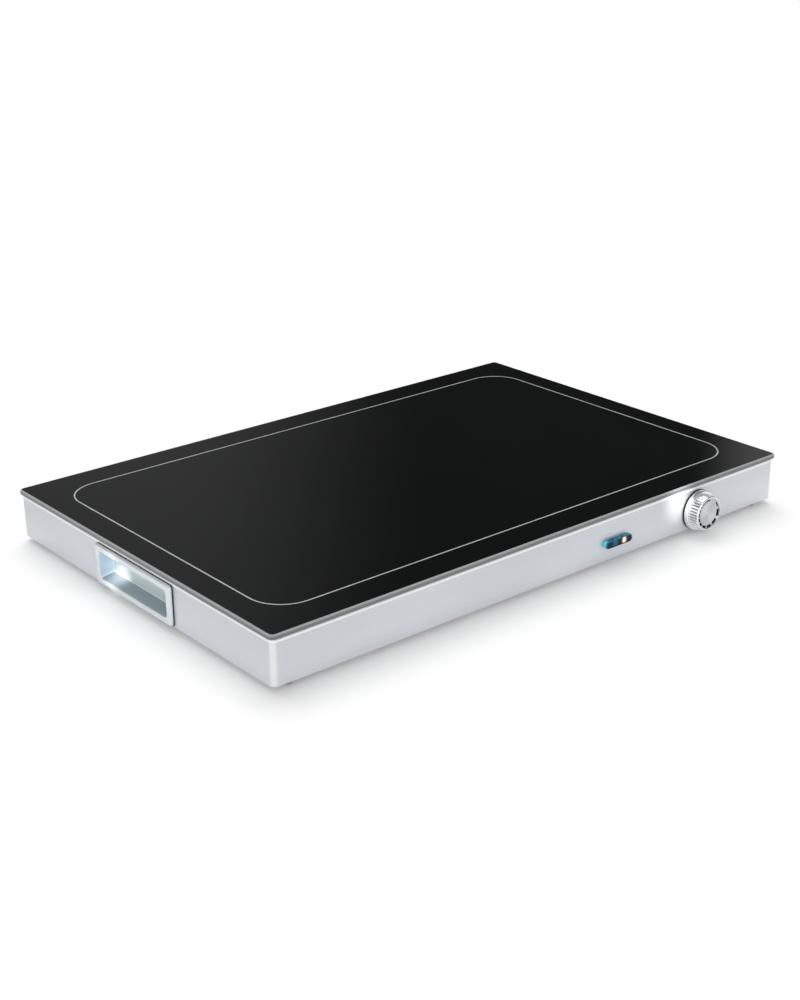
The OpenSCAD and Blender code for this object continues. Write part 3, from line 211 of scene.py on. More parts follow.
class NodeMaker:
    """Makes the nodes of one tree."""

    def __init__(self, tree: Any) -> None:
        """Empties the tree and keeps it.

        Args:
            tree: a material's or the world's node tree.
        """
        self.tree = tree
        tree.nodes.clear()

    def node(self, kind: str, settings: dict[str, Any] | None = None,
             inputs: dict[Any, Any] | None = None) -> Node:
        """Makes a node.

        Args:
            kind: the node's type name.
            settings: its properties.
            inputs: socket name or number to a plain value, a Value or an output socket.

        Returns:
            The node.
        """
        made = self.tree.nodes.new(kind)
        for key, setting in (settings or {}).items():
            setattr(made, key, setting)
        for key, given in (inputs or {}).items():
            socket = made.inputs[key]
            if isinstance(given, Value):
                self.tree.links.new(given.socket, socket)
            elif isinstance(given, bpy.types.NodeSocket):
                self.tree.links.new(given, socket)
            elif socket.type == "RGBA":
                socket.default_value = (*given, 1.0)
            else:
                socket.default_value = given
        return Node(self, made)

    def place(self) -> Any:
        """The Object coordinates' socket."""
        return self.node("ShaderNodeTexCoord").out("Object")

    def axes(self) -> tuple[Value, Value, Value]:
        """The three Object coordinates, in metres."""
        split = self.node("ShaderNodeSeparateXYZ", None, {0: self.place()})
        return split.value(0), split.value(1), split.value(2)

    def facing(self) -> tuple[Value, Value, Value]:
        """The three components of the surface's normal."""
        normal = self.node("ShaderNodeNewGeometry").out("Normal")
        split = self.node("ShaderNodeSeparateXYZ", None, {0: normal})
        return split.value(0), split.value(1), split.value(2)

    def stretched(self, scale: Sequence[float]) -> Any:
        """Object coordinates multiplied by scale, per metre."""
        return self.node("ShaderNodeMapping", None,
                         {"Vector": self.place(), "Scale": tuple(scale)}).out()

    def noise(self, scale: Sequence[float], detail: float = 3.0, rough: float = 0.5) -> Value:
        """Noise with its own scale along each axis.

        Args:
            scale: waves per metre along X, Y and Z.
            detail: how many finer layers it has.
            rough: how strong they are.

        Returns:
            A value around 0.5.
        """
        return self.node("ShaderNodeTexNoise", {"noise_dimensions": "3D"},
                         {"Vector": self.stretched(scale), "Scale": 1.0, "Detail": detail,
                          "Roughness": rough}).value("Fac")

    def mix(self, factor: Any, a: Any, b: Any) -> Any:
        """Mixes two colours.

        Args:
            factor: 0 gives a and 1 gives b.
            a: the first colour.
            b: the second colour.

        Returns:
            The colour's socket.
        """
        return self.node("ShaderNodeMix", {"data_type": "RGBA"}, {0: factor, 6: a, 7: b}).out(2)

    def toned(self, colour: Colour, factor: Any, darker: float, lighter: float) -> Any:
        """A colour that runs from a darker to a lighter tone.

        Args:
            colour: the colour.
            factor: 0 gives the darker tone and 1 the lighter.
            darker: what multiplies the colour at 0.
            lighter: what multiplies the colour at 1.

        Returns:
            The colour's socket.
        """
        return self.mix(factor, shade(colour, darker), shade(colour, lighter))

    def bump(self, height: Value, strength: float, depth: float) -> Any:
        """A Bump node's normal.

        Args:
            height: the pattern, 0 to 1.
            strength: the share of the effect, 0 to 1.
            depth: the height that 1 stands for, in metres.

        Returns:
            The normal's socket.
        """
        return self.node("ShaderNodeBump", None,
                         {"Strength": strength, "Distance": depth, "Height": height}).out()


def shade(colour: Colour, factor: float) -> Colour:
    """The colour made lighter or darker by a factor."""
    return tuple(min(1.0, c * factor) for c in colour)


# ---------------------------------------------------------------- finishes


@dataclass(frozen=True)
class Finish:
    """A finish with its own node material."""

    name: str
    colour: Colour
    roughness: float = 0.4
    metallic: float = 0.0
    coat: float = 0.0
    specular: float = 0.5
    shine: float = 0.0
    coat_roughness: float = 0.08

    def material(self) -> Any:
        """Builds the material once and returns it.

        Returns:
            The material.
        """
        for known in bpy.data.materials:
            if known.get("made_for") == self.name:
                return known
        material = bpy.data.materials.new(self.name)
        material["made_for"] = self.name
        material.use_nodes = True
        maker = NodeMaker(material.node_tree)
        surface = {
            "Base Color": self.colour, "Roughness": self.roughness, "Metallic": self.metallic,
            "Coat Weight": self.coat, "Coat Roughness": self.coat_roughness,
            "Specular IOR Level": self.specular, "Emission Strength": self.shine,
        }
        surface.update(self.pattern(maker))
        shader = maker.node("ShaderNodeBsdfPrincipled", None, surface)
        maker.node("ShaderNodeOutputMaterial", None, {"Surface": shader.out("BSDF")})
        return material

    def pattern(self, maker: NodeMaker) -> dict[str, Any]:
        """What varies over the surface: nothing, until a finish says otherwise.

        Args:
            maker: the material's node maker.

        Returns:
            Shader sockets by name.
        """
        return {}


@dataclass(frozen=True)
class BlackGlass(Finish):
    """Polished black glass whose edge is ground to a frosted grey."""

    face_up: float = 0.98
    chamfer_up: float = 0.15
    ground: float = 0.42
    polish: Span = (0.035, 0.07)
    frost: Colour = (0.36, 0.37, 0.38)
    flank: Colour = (0.18, 0.185, 0.19)

    def pattern(self, maker: NodeMaker) -> dict[str, Any]:
        """Black face, frosted chamfer, greyer flank and a fine smear on the face.

        Args:
            maker: the material's node maker.

        Returns:
            Shader sockets by name.
        """
        _, _, up = maker.facing()
        flat = up > self.face_up
        chamfer = (up > self.chamfer_up) * (up < self.face_up)
        grain = maker.noise((2600, 2600, 2600), detail=2.0)
        smear = maker.noise((14, 9, 14), detail=4.0, rough=0.55)
        frosted = maker.toned(self.frost, grain.ramp(*MOST), 0.86, 1.14)
        flank = maker.toned(self.flank, grain.ramp(*MOST), 0.8, 1.2)
        edge = maker.mix(chamfer, flank, frosted)
        face = maker.toned(self.colour, smear.ramp(*MOST), 0.92, 1.08)
        return {
            "Base Color": maker.mix(flat, edge, face),
            "Roughness": flat * (smear.ramp(0.35, 0.75, *self.polish) - self.ground) + self.ground,
            "Normal": maker.bump(grain * (1 - flat), 0.3, 0.08 * MM),
        }


@dataclass(frozen=True)
class BrushedBand(Finish):
    """Satin silver sheet brushed along the run of each wall, with painted highlights on its rolled edge
    and round corners, painted light low down and painted shade at the far ends of its end walls.

    roll and the painted light's span are heights, and darker is places along Y, between which the tone
    changes.
    """

    line: float = 2600.0
    run: float = 26.0
    # Heights of the painted highlight along the rolled top edge.
    roll: Span = (BAND_HIGH.z - 2.9 * MM, BAND_HIGH.z - 2.2 * MM)
    # Heights over which the colour is painted lighter towards the bottom, as painted light.
    painted_light_low: Span = (BAND_HIGH.z - 3.8 * MM, BAND_LOW.z + 2.5 * MM)
    # Places along Y over which the end walls are painted darker, as painted shade.
    darker: Span = (90.0 * MM, 200.0 * MM)
    # Near white: the painted highlight on the rolled edge and the round corners.
    painted_highlight: Colour = (0.98, 0.985, 0.99)

    def pattern(self, maker: NodeMaker) -> dict[str, Any]:
        """Fine lines along the wall, a slow cloud, painted highlights on the rolled edge and corners,
        painted light low down and painted shade at the far ends.

        Args:
            maker: the material's node maker.

        Returns:
            Shader sockets by name.
        """
        _, y, z = maker.axes()
        nx, ny, _ = maker.facing()
        # Painted highlight along the rolled top edge.
        roll = z.ramp(*self.roll)
        along_x = maker.noise((self.run, self.line, self.line), detail=2.0, rough=0.6)
        along_y = maker.noise((self.line, self.run, self.line), detail=2.0, rough=0.6)
        end_wall = abs(nx).ramp(0.45, 0.8)
        lines = along_x * (1 - end_wall) + along_y * end_wall
        cloud = maker.noise((9, 9, 18), detail=2.0)
        tone = lines.ramp(0.25, 0.75, -0.5, 0.5) * 0.5 + cloud.ramp(*MOST, -0.5, 0.5) * 0.5
        # Painted light: the band's colour grows lighter towards its bottom.
        low = z.ramp(*self.painted_light_low, 0.0, 0.5)
        # Painted shade: the end walls grow darker towards their far ends.
        far = y.ramp(*self.darker, 0.0, 0.45) * end_wall
        # Painted highlight on the rounded corners.
        corner_highlight = (abs(nx) * abs(ny)).ramp(0.12, 0.5, 0.0, 0.5)
        sheet = maker.toned(self.colour, tone * 0.4 + low + 0.25 - far, 0.88, 1.12)
        return {
            "Base Color": maker.mix(roll.bigger(corner_highlight), sheet, self.painted_highlight),
            "Metallic": self.metallic * (1 - roll * 0.8),
            "Roughness": lines.ramp(0.2, 0.8, self.roughness - 0.05, self.roughness + 0.07),
            "Normal": maker.bump(lines, 0.12, 0.04 * MM),
        }


@dataclass(frozen=True)
class SpangledSheet(Finish):
    """Zinc-coated sheet with crystal spangle and handling marks."""

    spangle: float = 120.0

    def pattern(self, maker: NodeMaker) -> dict[str, Any]:
        """Cells of slightly different grey with fine scratches over them.

        Args:
            maker: the material's node maker.

        Returns:
            Shader sockets by name.
        """
        cells = maker.node("ShaderNodeTexVoronoi", {"feature": "F1"},
                           {"Vector": maker.stretched((self.spangle,) * 3), "Scale": 1.0})
        tone = maker.node("ShaderNodeSeparateColor", None, {0: cells.out("Color")}).value(0)
        scratch = maker.noise((60, 1800, 1800), detail=2.0)
        stain = maker.noise((12, 12, 12))
        mixed = tone * 0.5 + scratch * 0.2 + stain * 0.3
        return {
            "Base Color": maker.toned(self.colour, mixed.ramp(0.2, 0.8), 0.82, 1.14),
            "Roughness": mixed.ramp(0.2, 0.8, self.roughness - 0.08, self.roughness + 0.1),
            "Normal": maker.bump(scratch, 0.1, 0.04 * MM),
        }


@dataclass(frozen=True)
class SatinMetal(Finish):
    """Turned, rolled or plated metal with fine lines and a slow cloud."""

    lines: Triple = (40.0, 2200.0, 2200.0)

    def pattern(self, maker: NodeMaker) -> dict[str, Any]:
        """Fine lines in one direction over a slow cloud.

        Args:
            maker: the material's node maker.

        Returns:
            Shader sockets by name.
        """
        fine = maker.noise(self.lines, detail=2.0, rough=0.6)
        cloud = maker.noise((70, 70, 70))
        tone = fine * 0.55 + cloud * 0.45
        return {
            "Base Color": maker.toned(self.colour, tone.ramp(*MOST), 0.88, 1.08),
            "Roughness": tone.ramp(*MOST, self.roughness - 0.05, self.roughness + 0.08),
            "Normal": maker.bump(fine, 0.12, 0.03 * MM),
        }


@dataclass(frozen=True)
class TurnedDisc(Finish):
    """Metal disc turned on a lathe: fine rings round the dial's axis."""

    pitch: float = 0.22 * MM

    def pattern(self, maker: NodeMaker) -> dict[str, Any]:
        """Rings whose tone also wanders with the angle, as a lathe leaves them.

        Args:
            maker: the material's node maker.

        Returns:
            Shader sockets by name.
        """
        x, _, z = maker.axes()
        u, w = x - DIAL.x, z - DIAL.z
        radius = (u * u + w * w).root()
        rings = (radius * (2 * math.pi / self.pitch)).sine()
        wander = maker.noise((260, 260, 260))
        sweep = (w.bearing(u) * 2.0 + wander * 3.0).cosine()
        tone = rings * 0.12 + wander * 0.5 + sweep * 0.22 + 0.25
        return {
            "Base Color": maker.toned(self.colour, tone.ramp(0.0, 1.0), 0.8, 1.15),
            "Roughness": wander.ramp(*MOST, self.roughness - 0.05, self.roughness + 0.1),
            "Normal": maker.bump(rings * 0.5 + wander, 0.15, 0.03 * MM),
        }


@dataclass(frozen=True)
class FlutedSilver(Finish):
    """Bright silver of the dial, with painted shade in the bottoms of its flutes and a black back edge."""

    grip_r: float = 16.8 * MM
    face_r: float = 16.3 * MM
    dish_r: float = 15.3 * MM
    grip_out: float = 6.2 * MM
    reach: float = BAND_LOW.y - DIAL_LOW.y
    root_gap: float = 0.15 * MM
    front_gap: float = 0.4 * MM
    # Depths over which each flute's bottom takes the shadow colour, as painted shade.
    shaded_depth: Span = (0.30 * MM, 0.52 * MM)
    black_edge: Span = (2.3 * MM, 2.1 * MM)
    shadow: Colour = (0.17, 0.17, 0.18)
    back: Colour = (0.009, 0.009, 0.01)

    def pattern(self, maker: NodeMaker) -> dict[str, Any]:
        """Fine turning lines, painted shade by depth in each flute, and the edge beside the wall.

        Args:
            maker: the material's node maker.

        Returns:
            Shader sockets by name.
        """
        x, y, z = maker.axes()
        u, w = x - DIAL.x, z - DIAL.z
        radius = (u * u + w * w).root()
        out = BAND_LOW.y - y
        slope = (self.grip_r - self.face_r) / (self.reach - self.grip_out)
        depth = self.grip_r - (out - self.grip_out) * slope - radius
        on_grip = ((out > self.grip_out + self.root_gap) * (out < self.reach - self.front_gap)
                   * (radius > self.dish_r))
        # Painted shade: the deeper part of each flute takes the shadow colour.
        groove = depth.ramp(*self.shaded_depth) * on_grip
        edge = out.ramp(*self.black_edge)
        fine = maker.noise((1400, 90, 1400), detail=2.0, rough=0.6)
        cloud = maker.noise((160, 160, 160))
        tone = fine * 0.5 + cloud * 0.5
        silver = maker.toned(self.colour, tone.ramp(*MOST), 0.92, 1.05)
        return {
            "Base Color": maker.mix(edge, maker.mix(groove, silver, self.shadow), self.back),
            "Metallic": self.metallic * (1 - edge),
            "Roughness": (tone.ramp(*MOST, self.roughness - 0.04, self.roughness + 0.06)
                          + groove * 0.3 + edge * 0.3),
            "Normal": maker.bump(fine, 0.1, 0.02 * MM),
        }


@dataclass(frozen=True)
class Moulded(Finish):
    """Moulded plastic, rubber or ceramic with a fine eroded grain."""

    grain: float = 1400.0
    depth: float = 0.04 * MM
    change: float = 0.12

    def pattern(self, maker: NodeMaker) -> dict[str, Any]:
        """Fine grain over a slow change of tone.

        Args:
            maker: the material's node maker.

        Returns:
            Shader sockets by name.
        """
        grain = maker.noise((self.grain,) * 3, rough=0.6)
        cloud = maker.noise((45, 45, 45))
        tone = grain * 0.4 + cloud * 0.6
        sockets = {
            "Base Color": maker.toned(self.colour, tone.ramp(*MOST), 1 - self.change, 1 + self.change),
            "Roughness": (tone - 0.5) * 0.15 + self.roughness,
        }
        if self.depth > 0:
            sockets["Normal"] = maker.bump(grain, 0.25, self.depth)
        return sockets


@dataclass(frozen=True)
class RecessedSilver(Moulded):
    """Pale moulding with painted shade and painted reflected tints on its recess's floor, back and ends."""

    mouth: Span = (BAND_HIGH.x + 2.8 * MM, BAND_HIGH.x + 2.4 * MM)
    half_l: float = GRIP_SIZE.y / 2 - 4.8 * MM
    high: float = GRIP.z + 12.7 * MM
    # Painted shade on the recess's floor.
    floor: Colour = (0.31, 0.37, 0.40)
    # Painted shade with a grey-green reflected tint on the recess's back wall.
    back: Colour = (0.64, 0.73, 0.74)
    # Painted bluish reflection on the recess's end walls.
    end: Colour = (0.60, 0.72, 0.84)
    # Painted highlight along the creases between floor, back and ends.
    line: Colour = (0.95, 0.98, 1.0)

    def pattern(self, maker: NodeMaker) -> dict[str, Any]:
        """Painted shade on the floor, painted grey-green and bluish reflections on the back and ends, and
        painted highlights where they meet.

        Args:
            maker: the material's node maker.

        Returns:
            Shader sockets by name.
        """
        sockets = super().pattern(maker)
        x, y, z = maker.axes()
        nx, ny, nz = maker.facing()
        inside = abs(x).ramp(*self.mouth) * (z < self.high) * (abs(y - GRIP.y) < self.half_l)
        level = nz.ramp(0.74, 0.86)
        side = abs(nx).ramp(0.74, 0.86)
        across = abs(ny).ramp(0.6, 0.75)
        # Painted highlight along the creases where the recess's faces meet.
        crease_highlight = inside * (1 - level.bigger(side).bigger(across))
        # Painted reflections and painted shade on the recess's ends, back and floor.
        ends = maker.mix(inside * across, sockets["Base Color"], self.end)
        walls = maker.mix(inside * side, ends, self.back)
        tone = maker.mix(inside * level, walls, self.floor)
        sockets["Base Color"] = maker.mix(crease_highlight * 0.8, tone, self.line)
        sockets["Roughness"] = sockets["Roughness"] + inside * 0.13
        return sockets


@dataclass(frozen=True)
class FibreMat(Finish):
    """Pressed mineral fibre."""

    def pattern(self, maker: NodeMaker) -> dict[str, Any]:
        """Crossed fibres with darker shot between them.

        Args:
            maker: the material's node maker.

        Returns:
            Shader sockets by name.
        """
        one = maker.noise((90, 1500, 900), rough=0.65)
        two = maker.noise((1500, 90, 900), rough=0.65)
        fibre = one.bigger(two)
        shot = maker.noise((400, 400, 400), detail=2.0)
        return {
            "Base Color": maker.toned(self.colour, fibre.ramp(0.35, 0.75) * shot.ramp(0.3, 0.6), 0.72, 1.0),
            "Roughness": fibre.ramp(0.3, 0.8, 0.85, 1.0),
            "Normal": maker.bump(fibre, 0.6, 0.4 * MM),
        }


@dataclass(frozen=True)
class GlowingLens(Finish):
    """Dark blue window with the glow of the lamp behind its right half.

    halo and hot are distances in glow_w and glow_h, and the other spans are distances to the right
    of the pill's middle, between which the colour changes.
    """

    glow_x: float = PILL.x + 6.6 * MM
    glow_w: float = 3.0 * MM
    glow_h: float = 5.6 * MM
    halo: Span = (1.35, 0.5)
    hot: Span = (0.9, 0.4)
    pane_left: Span = (-8.5 * MM, -6.2 * MM)
    pane_right: Span = (-1.2 * MM, -2.6 * MM)
    smoke_from: Span = (-2.2 * MM, -1.2 * MM)
    violet_from: Span = (8.5 * MM, 10.5 * MM)
    ribs: float = 5200.0
    rib_lean: float = 0.4
    unlit: Colour = (0.0, 0.003, 0.008)
    glow: Colour = (0.75, 0.24, 0.12)
    core: Colour = (1.0, 0.93, 0.72)
    slate: Colour = (0.04, 0.13, 0.20)
    smoke: Colour = (0.008, 0.026, 0.030)
    violet: Colour = (0.018, 0.012, 0.045)

    def pattern(self, maker: NodeMaker) -> dict[str, Any]:
        """Navy left end, a slate pane, a smoky middle and a warm glow round a white core.

        Args:
            maker: the material's node maker.

        Returns:
            Shader sockets by name.
        """
        x, _, z = maker.axes()
        dx = (x - self.glow_x) / self.glow_w
        dz = (z - PILL.z) / self.glow_h
        away = (dx * dx + dz * dz).root()
        lit = maker.mix(away.ramp(*self.halo), self.unlit, self.glow)
        ribs = ((x + z * self.rib_lean) * self.ribs).sine()
        right = x - PILL.x
        pane = right.ramp(*self.pane_left) * right.ramp(*self.pane_right)
        body = maker.mix(pane + ribs * 0.1, self.colour, self.slate)
        body = maker.mix(right.ramp(*self.smoke_from), body, self.smoke)
        return {
            "Base Color": maker.mix(right.ramp(*self.violet_from), body, self.violet),
            "Emission Color": maker.mix(away.ramp(*self.hot), lit, self.core),
            "Roughness": pane.ramp(0.0, 1.0, 0.08, 0.16),
        }


@dataclass(frozen=True)
class TintedRim(Finish):
    """Clear teal plastic with a painted highlight at its left end and painted shade along its lower side,
    greener at its right.

    The spans are distances between which the colour changes: along from the nearer end, out from
    the band, and up from the middle. clouded is in a noise's values.
    """

    # Spans of the painted highlight at the left end.
    lit_along: Span = (5.2 * MM, 1.5 * MM)
    lit_root: Span = (0.2 * MM, 1.6 * MM)
    lit_front: Span = (3.9 * MM, 2.6 * MM)
    green_along: Span = (10.0 * MM, 6.0 * MM)
    clouded: Span = (0.42, 0.6)
    # Spans of the painted shade along the lower side.
    dark_below: Span = (0.2 * MM, -1.4 * MM)
    dark_along: Span = (2.0 * MM, 4.0 * MM)
    # Colour of the painted highlight at the left end.
    lit: Colour = (0.16, 0.92, 1.0)
    deep: Colour = (0.010, 0.10, 0.26)
    green: Colour = (0.012, 0.28, 0.27)
    # Colour of the painted shade along the lower side.
    dark: Colour = (0.006, 0.016, 0.03)

    def pattern(self, maker: NodeMaker) -> dict[str, Any]:
        """Teal with a painted cyan highlight at the left, clouded with blue along the middle, with painted
        shade low down.

        Args:
            maker: the material's node maker.

        Returns:
            Shader sockets by name.
        """
        x, y, z = maker.axes()
        out = BAND_LOW.y - y
        along = x - PILL_LOW.x
        # Painted highlight: the left end clears to cyan.
        left = along.ramp(*self.lit_along)
        left = left * out.ramp(*self.lit_root, 0.15) * out.ramp(*self.lit_front)
        right = (PILL_HIGH.x - x).ramp(*self.green_along)
        cloud = maker.noise((330, 330, 330), detail=2.0)
        middle = cloud.ramp(*self.clouded) * (1 - left) * (1 - right)
        body = maker.mix(right, maker.mix(middle, self.colour, self.deep), self.green)
        # Painted shade: the lower side darkens.
        low = (z - PILL.z).ramp(*self.dark_below) * along.ramp(*self.dark_along)
        return {
            "Base Color": maker.mix(low, maker.mix(left, body, self.lit), self.dark),
            "Roughness": cloud.ramp(*MOST, self.roughness - 0.04, self.roughness + 0.08),
        }


class Look(Enum):
    """Every finish on the tray."""

    GLASS = BlackGlass("black_glass", (0.0035, 0.004, 0.0042), 0.05, specular=0.5)
    INK = Moulded("printed_ink", (0.42, 0.44, 0.45), 0.45, grain=900.0, depth=0.01 * MM)
    BEAD = Moulded("silicone_bead", (0.07, 0.07, 0.075), 0.6)
    BAND = BrushedBand("silver_band", (0.69, 0.71, 0.745), 0.36, 0.55)
    ZINC = SpangledSheet("zinc_sheet", (0.52, 0.53, 0.55), 0.4, 0.85)
    ALUMINIUM = SatinMetal("aluminium_sheet", (0.74, 0.75, 0.76), 0.34, 0.95)
    FASTENER = SatinMetal("zinc_fastener", (0.60, 0.61, 0.63), 0.36, 0.95, lines=(900.0, 900.0, 900.0))
    SPRING = SatinMetal("spring_steel", (0.42, 0.43, 0.46), 0.36, 0.95)
    RUBBER = Moulded("black_rubber", (0.018, 0.018, 0.019), 0.7, grain=900.0, depth=0.08 * MM)
    GRIP = RecessedSilver("silver_moulding", (0.76, 0.81, 0.84), 0.22, 0.35, grain=300.0, depth=0.0,
                          change=0.03)
    DIAL = FlutedSilver("dial_silver", (0.86, 0.87, 0.88), 0.2, 0.85)
    DISC = TurnedDisc("dial_disc", (0.60, 0.61, 0.63), 0.34, 0.9)
    MARK = Moulded("black_ink", (0.003, 0.003, 0.003), 0.6, specular=0.05)
    BLACK = Moulded("black_plastic", (0.009, 0.009, 0.01), 0.5, specular=0.15, grain=1800.0)
    STEEL = SatinMetal("turned_steel", (0.55, 0.56, 0.58), 0.35, 1.0)
    PHENOLIC = Moulded("phenolic", (0.085, 0.045, 0.03), 0.4, grain=700.0)
    BRASS = SatinMetal("brass_contact", (0.74, 0.56, 0.25), 0.35, 1.0)
    COPPER = SatinMetal("copper", (0.72, 0.38, 0.24), 0.35, 1.0)
    TEAL = TintedRim("teal_plastic", (0.014, 0.30, 0.40), 0.16, coat=0.3)
    LENS = GlowingLens("lens_plastic", (0.004, 0.026, 0.06), 0.1, specular=0.12, shine=1.0)
    LAMP = Moulded("lamp_glass", (0.85, 0.42, 0.16), 0.1)
    CABLE = Moulded("cable_silicone", (0.52, 0.075, 0.05), 0.45, grain=800.0)
    CERAMIC = Moulded("ceramic", (0.78, 0.77, 0.71), 0.35, grain=900.0)
    MAT = FibreMat("fibre_mat", (0.80, 0.78, 0.70), 0.95)
    SLEEVE = Moulded("red_sleeve", (0.56, 0.05, 0.04), 0.35)
    BROWN = Moulded("brown_lead", (0.13, 0.05, 0.02), 0.4)
    BLUE = Moulded("blue_lead", (0.02, 0.09, 0.42), 0.4)
    GREEN = Moulded("green_lead", (0.09, 0.38, 0.06), 0.4)


# ---------------------------------------------------------------- smooth pieces


class Moulding:
    """A mesh under way, made of rounded outlines that are bridged one to the next."""

    def __init__(self, place: Matrix, corner_steps: int = 8) -> None:
        """Starts an empty mesh.

        Args:
            place: where the outlines stand: its X and Y span them and its Z runs through them.
            corner_steps: edges in each rounded corner.
        """
        self.shape = bmesh.new()
        self.place = place
        self.corner_steps = corner_steps
        self.rings: list[list[Any]] = []
        self.last_level = math.inf

    def ring(self, level: float, half_u: float, half_v: float, radius: float) -> None:
        """Adds one rounded outline, a hair off the last one where both share a level.

        Args:
            level: its place along the third axis.
            half_u: half its length.
            half_v: half its width.
            radius: its corner radius.
        """
        if abs(level - self.last_level) < HAIR:
            level += HAIR
        self.last_level = level
        spread = Matrix.Translation((0, 0, level)) @ Matrix.Diagonal((half_u, half_v, 1.0, 1.0))
        made = bmesh.ops.create_grid(self.shape, x_segments=1, y_segments=1, size=1.0,
                                     matrix=Matrix.Scale(1 / MM, 4) @ spread)
        bmesh.ops.bevel(self.shape, geom=made["verts"], offset=radius / MM, offset_type="OFFSET",
                        segments=self.corner_steps, profile=0.5, affect="VERTICES", material=-1)
        face = self.shape.faces[:][0]
        self.rings.append(face.edges[:])
        bmesh.ops.delete(self.shape, geom=[face], context="FACES_ONLY")

    def bridge(self, closed: bool) -> None:
        """Joins the outlines, which are drawn in millimetres, and sets them in place.

        Args:
            closed: True joins the last outline to the first, False caps both ends.
        """
        pairs = list(zip(self.rings, self.rings[1:]))
        if closed:
            pairs.append((self.rings[-1], self.rings[0]))
        for first, second in pairs:
            bmesh.ops.bridge_loops(self.shape, edges=first + second)
        if not closed:
            for end in (self.rings[0], self.rings[-1]):
                bmesh.ops.contextual_create(self.shape, geom=end)
        bmesh.ops.transform(self.shape, matrix=self.place @ Matrix.Scale(MM, 4),
                            verts=self.shape.verts[:])
        bmesh.ops.recalc_face_normals(self.shape, faces=self.shape.faces[:])

    def piece(self, name: str, look: Look, body: str, *stands_for: str) -> None:
        """Turns the mesh into a dressed piece that rides on a body.

        Args:
            name: the piece's name.
            look: its finish.
            body: the CAD body that it moves with.
            stands_for: the CAD nodes that it replaces.
        """
        mesh = bpy.data.meshes.new(name)
        self.shape.to_mesh(mesh)
        self.shape.free()
        mesh.materials.append(look.value.material())
        for polygon in mesh.polygons:
            polygon.use_smooth = True
        mesh.set_sharp_from_angle(angle=CREASE)
        piece = bpy.data.objects.new(name, mesh)
        bpy.context.scene.collection.objects.link(piece)
        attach(piece, body)
        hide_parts(*stands_for)
        log.info("%s: %d faces, %s", name, len(mesh.polygons), look.value.name)


# ---------------------------------------------------------------- sub-assemblies


def put_on(look: Look, *names: str) -> None:
    """Dresses CAD nodes in a finish.

    Args:
        look: the finish.
        names: the nodes.
    """
    for name in names:
        node = frame["nodes"][name]
        if not node.material_slots:
            node.data.materials.append(look.value.material())
        for slot in node.material_slots:
            slot.material = look.value.material()
        log.info("%s: %s", name, look.value.name)


@dataclass
class HotPlate:
    """The glass, its printed line and the bead that bonds it."""

    def dress(self) -> None:
        """Gives each piece its finish."""
        put_on(Look.GLASS, "glass_top")
        put_on(Look.INK, "zone_line")
        put_on(Look.BEAD, "glass_seal")


@dataclass
class Case:
    """The band, base, feet and their fasteners."""

    def dress(self) -> None:
        """Gives each piece its finish."""
        put_on(Look.BAND, "side_band")
        put_on(Look.ZINC, "base_plate", "cross_braces", "handle_yokes", "thermostat_plate")
        put_on(Look.RUBBER, "feet", "handle_gasket_left", "handle_gasket_right")
        put_on(Look.FASTENER, "base_screws", "foot_screws", "foot_nuts", "yoke_screws")


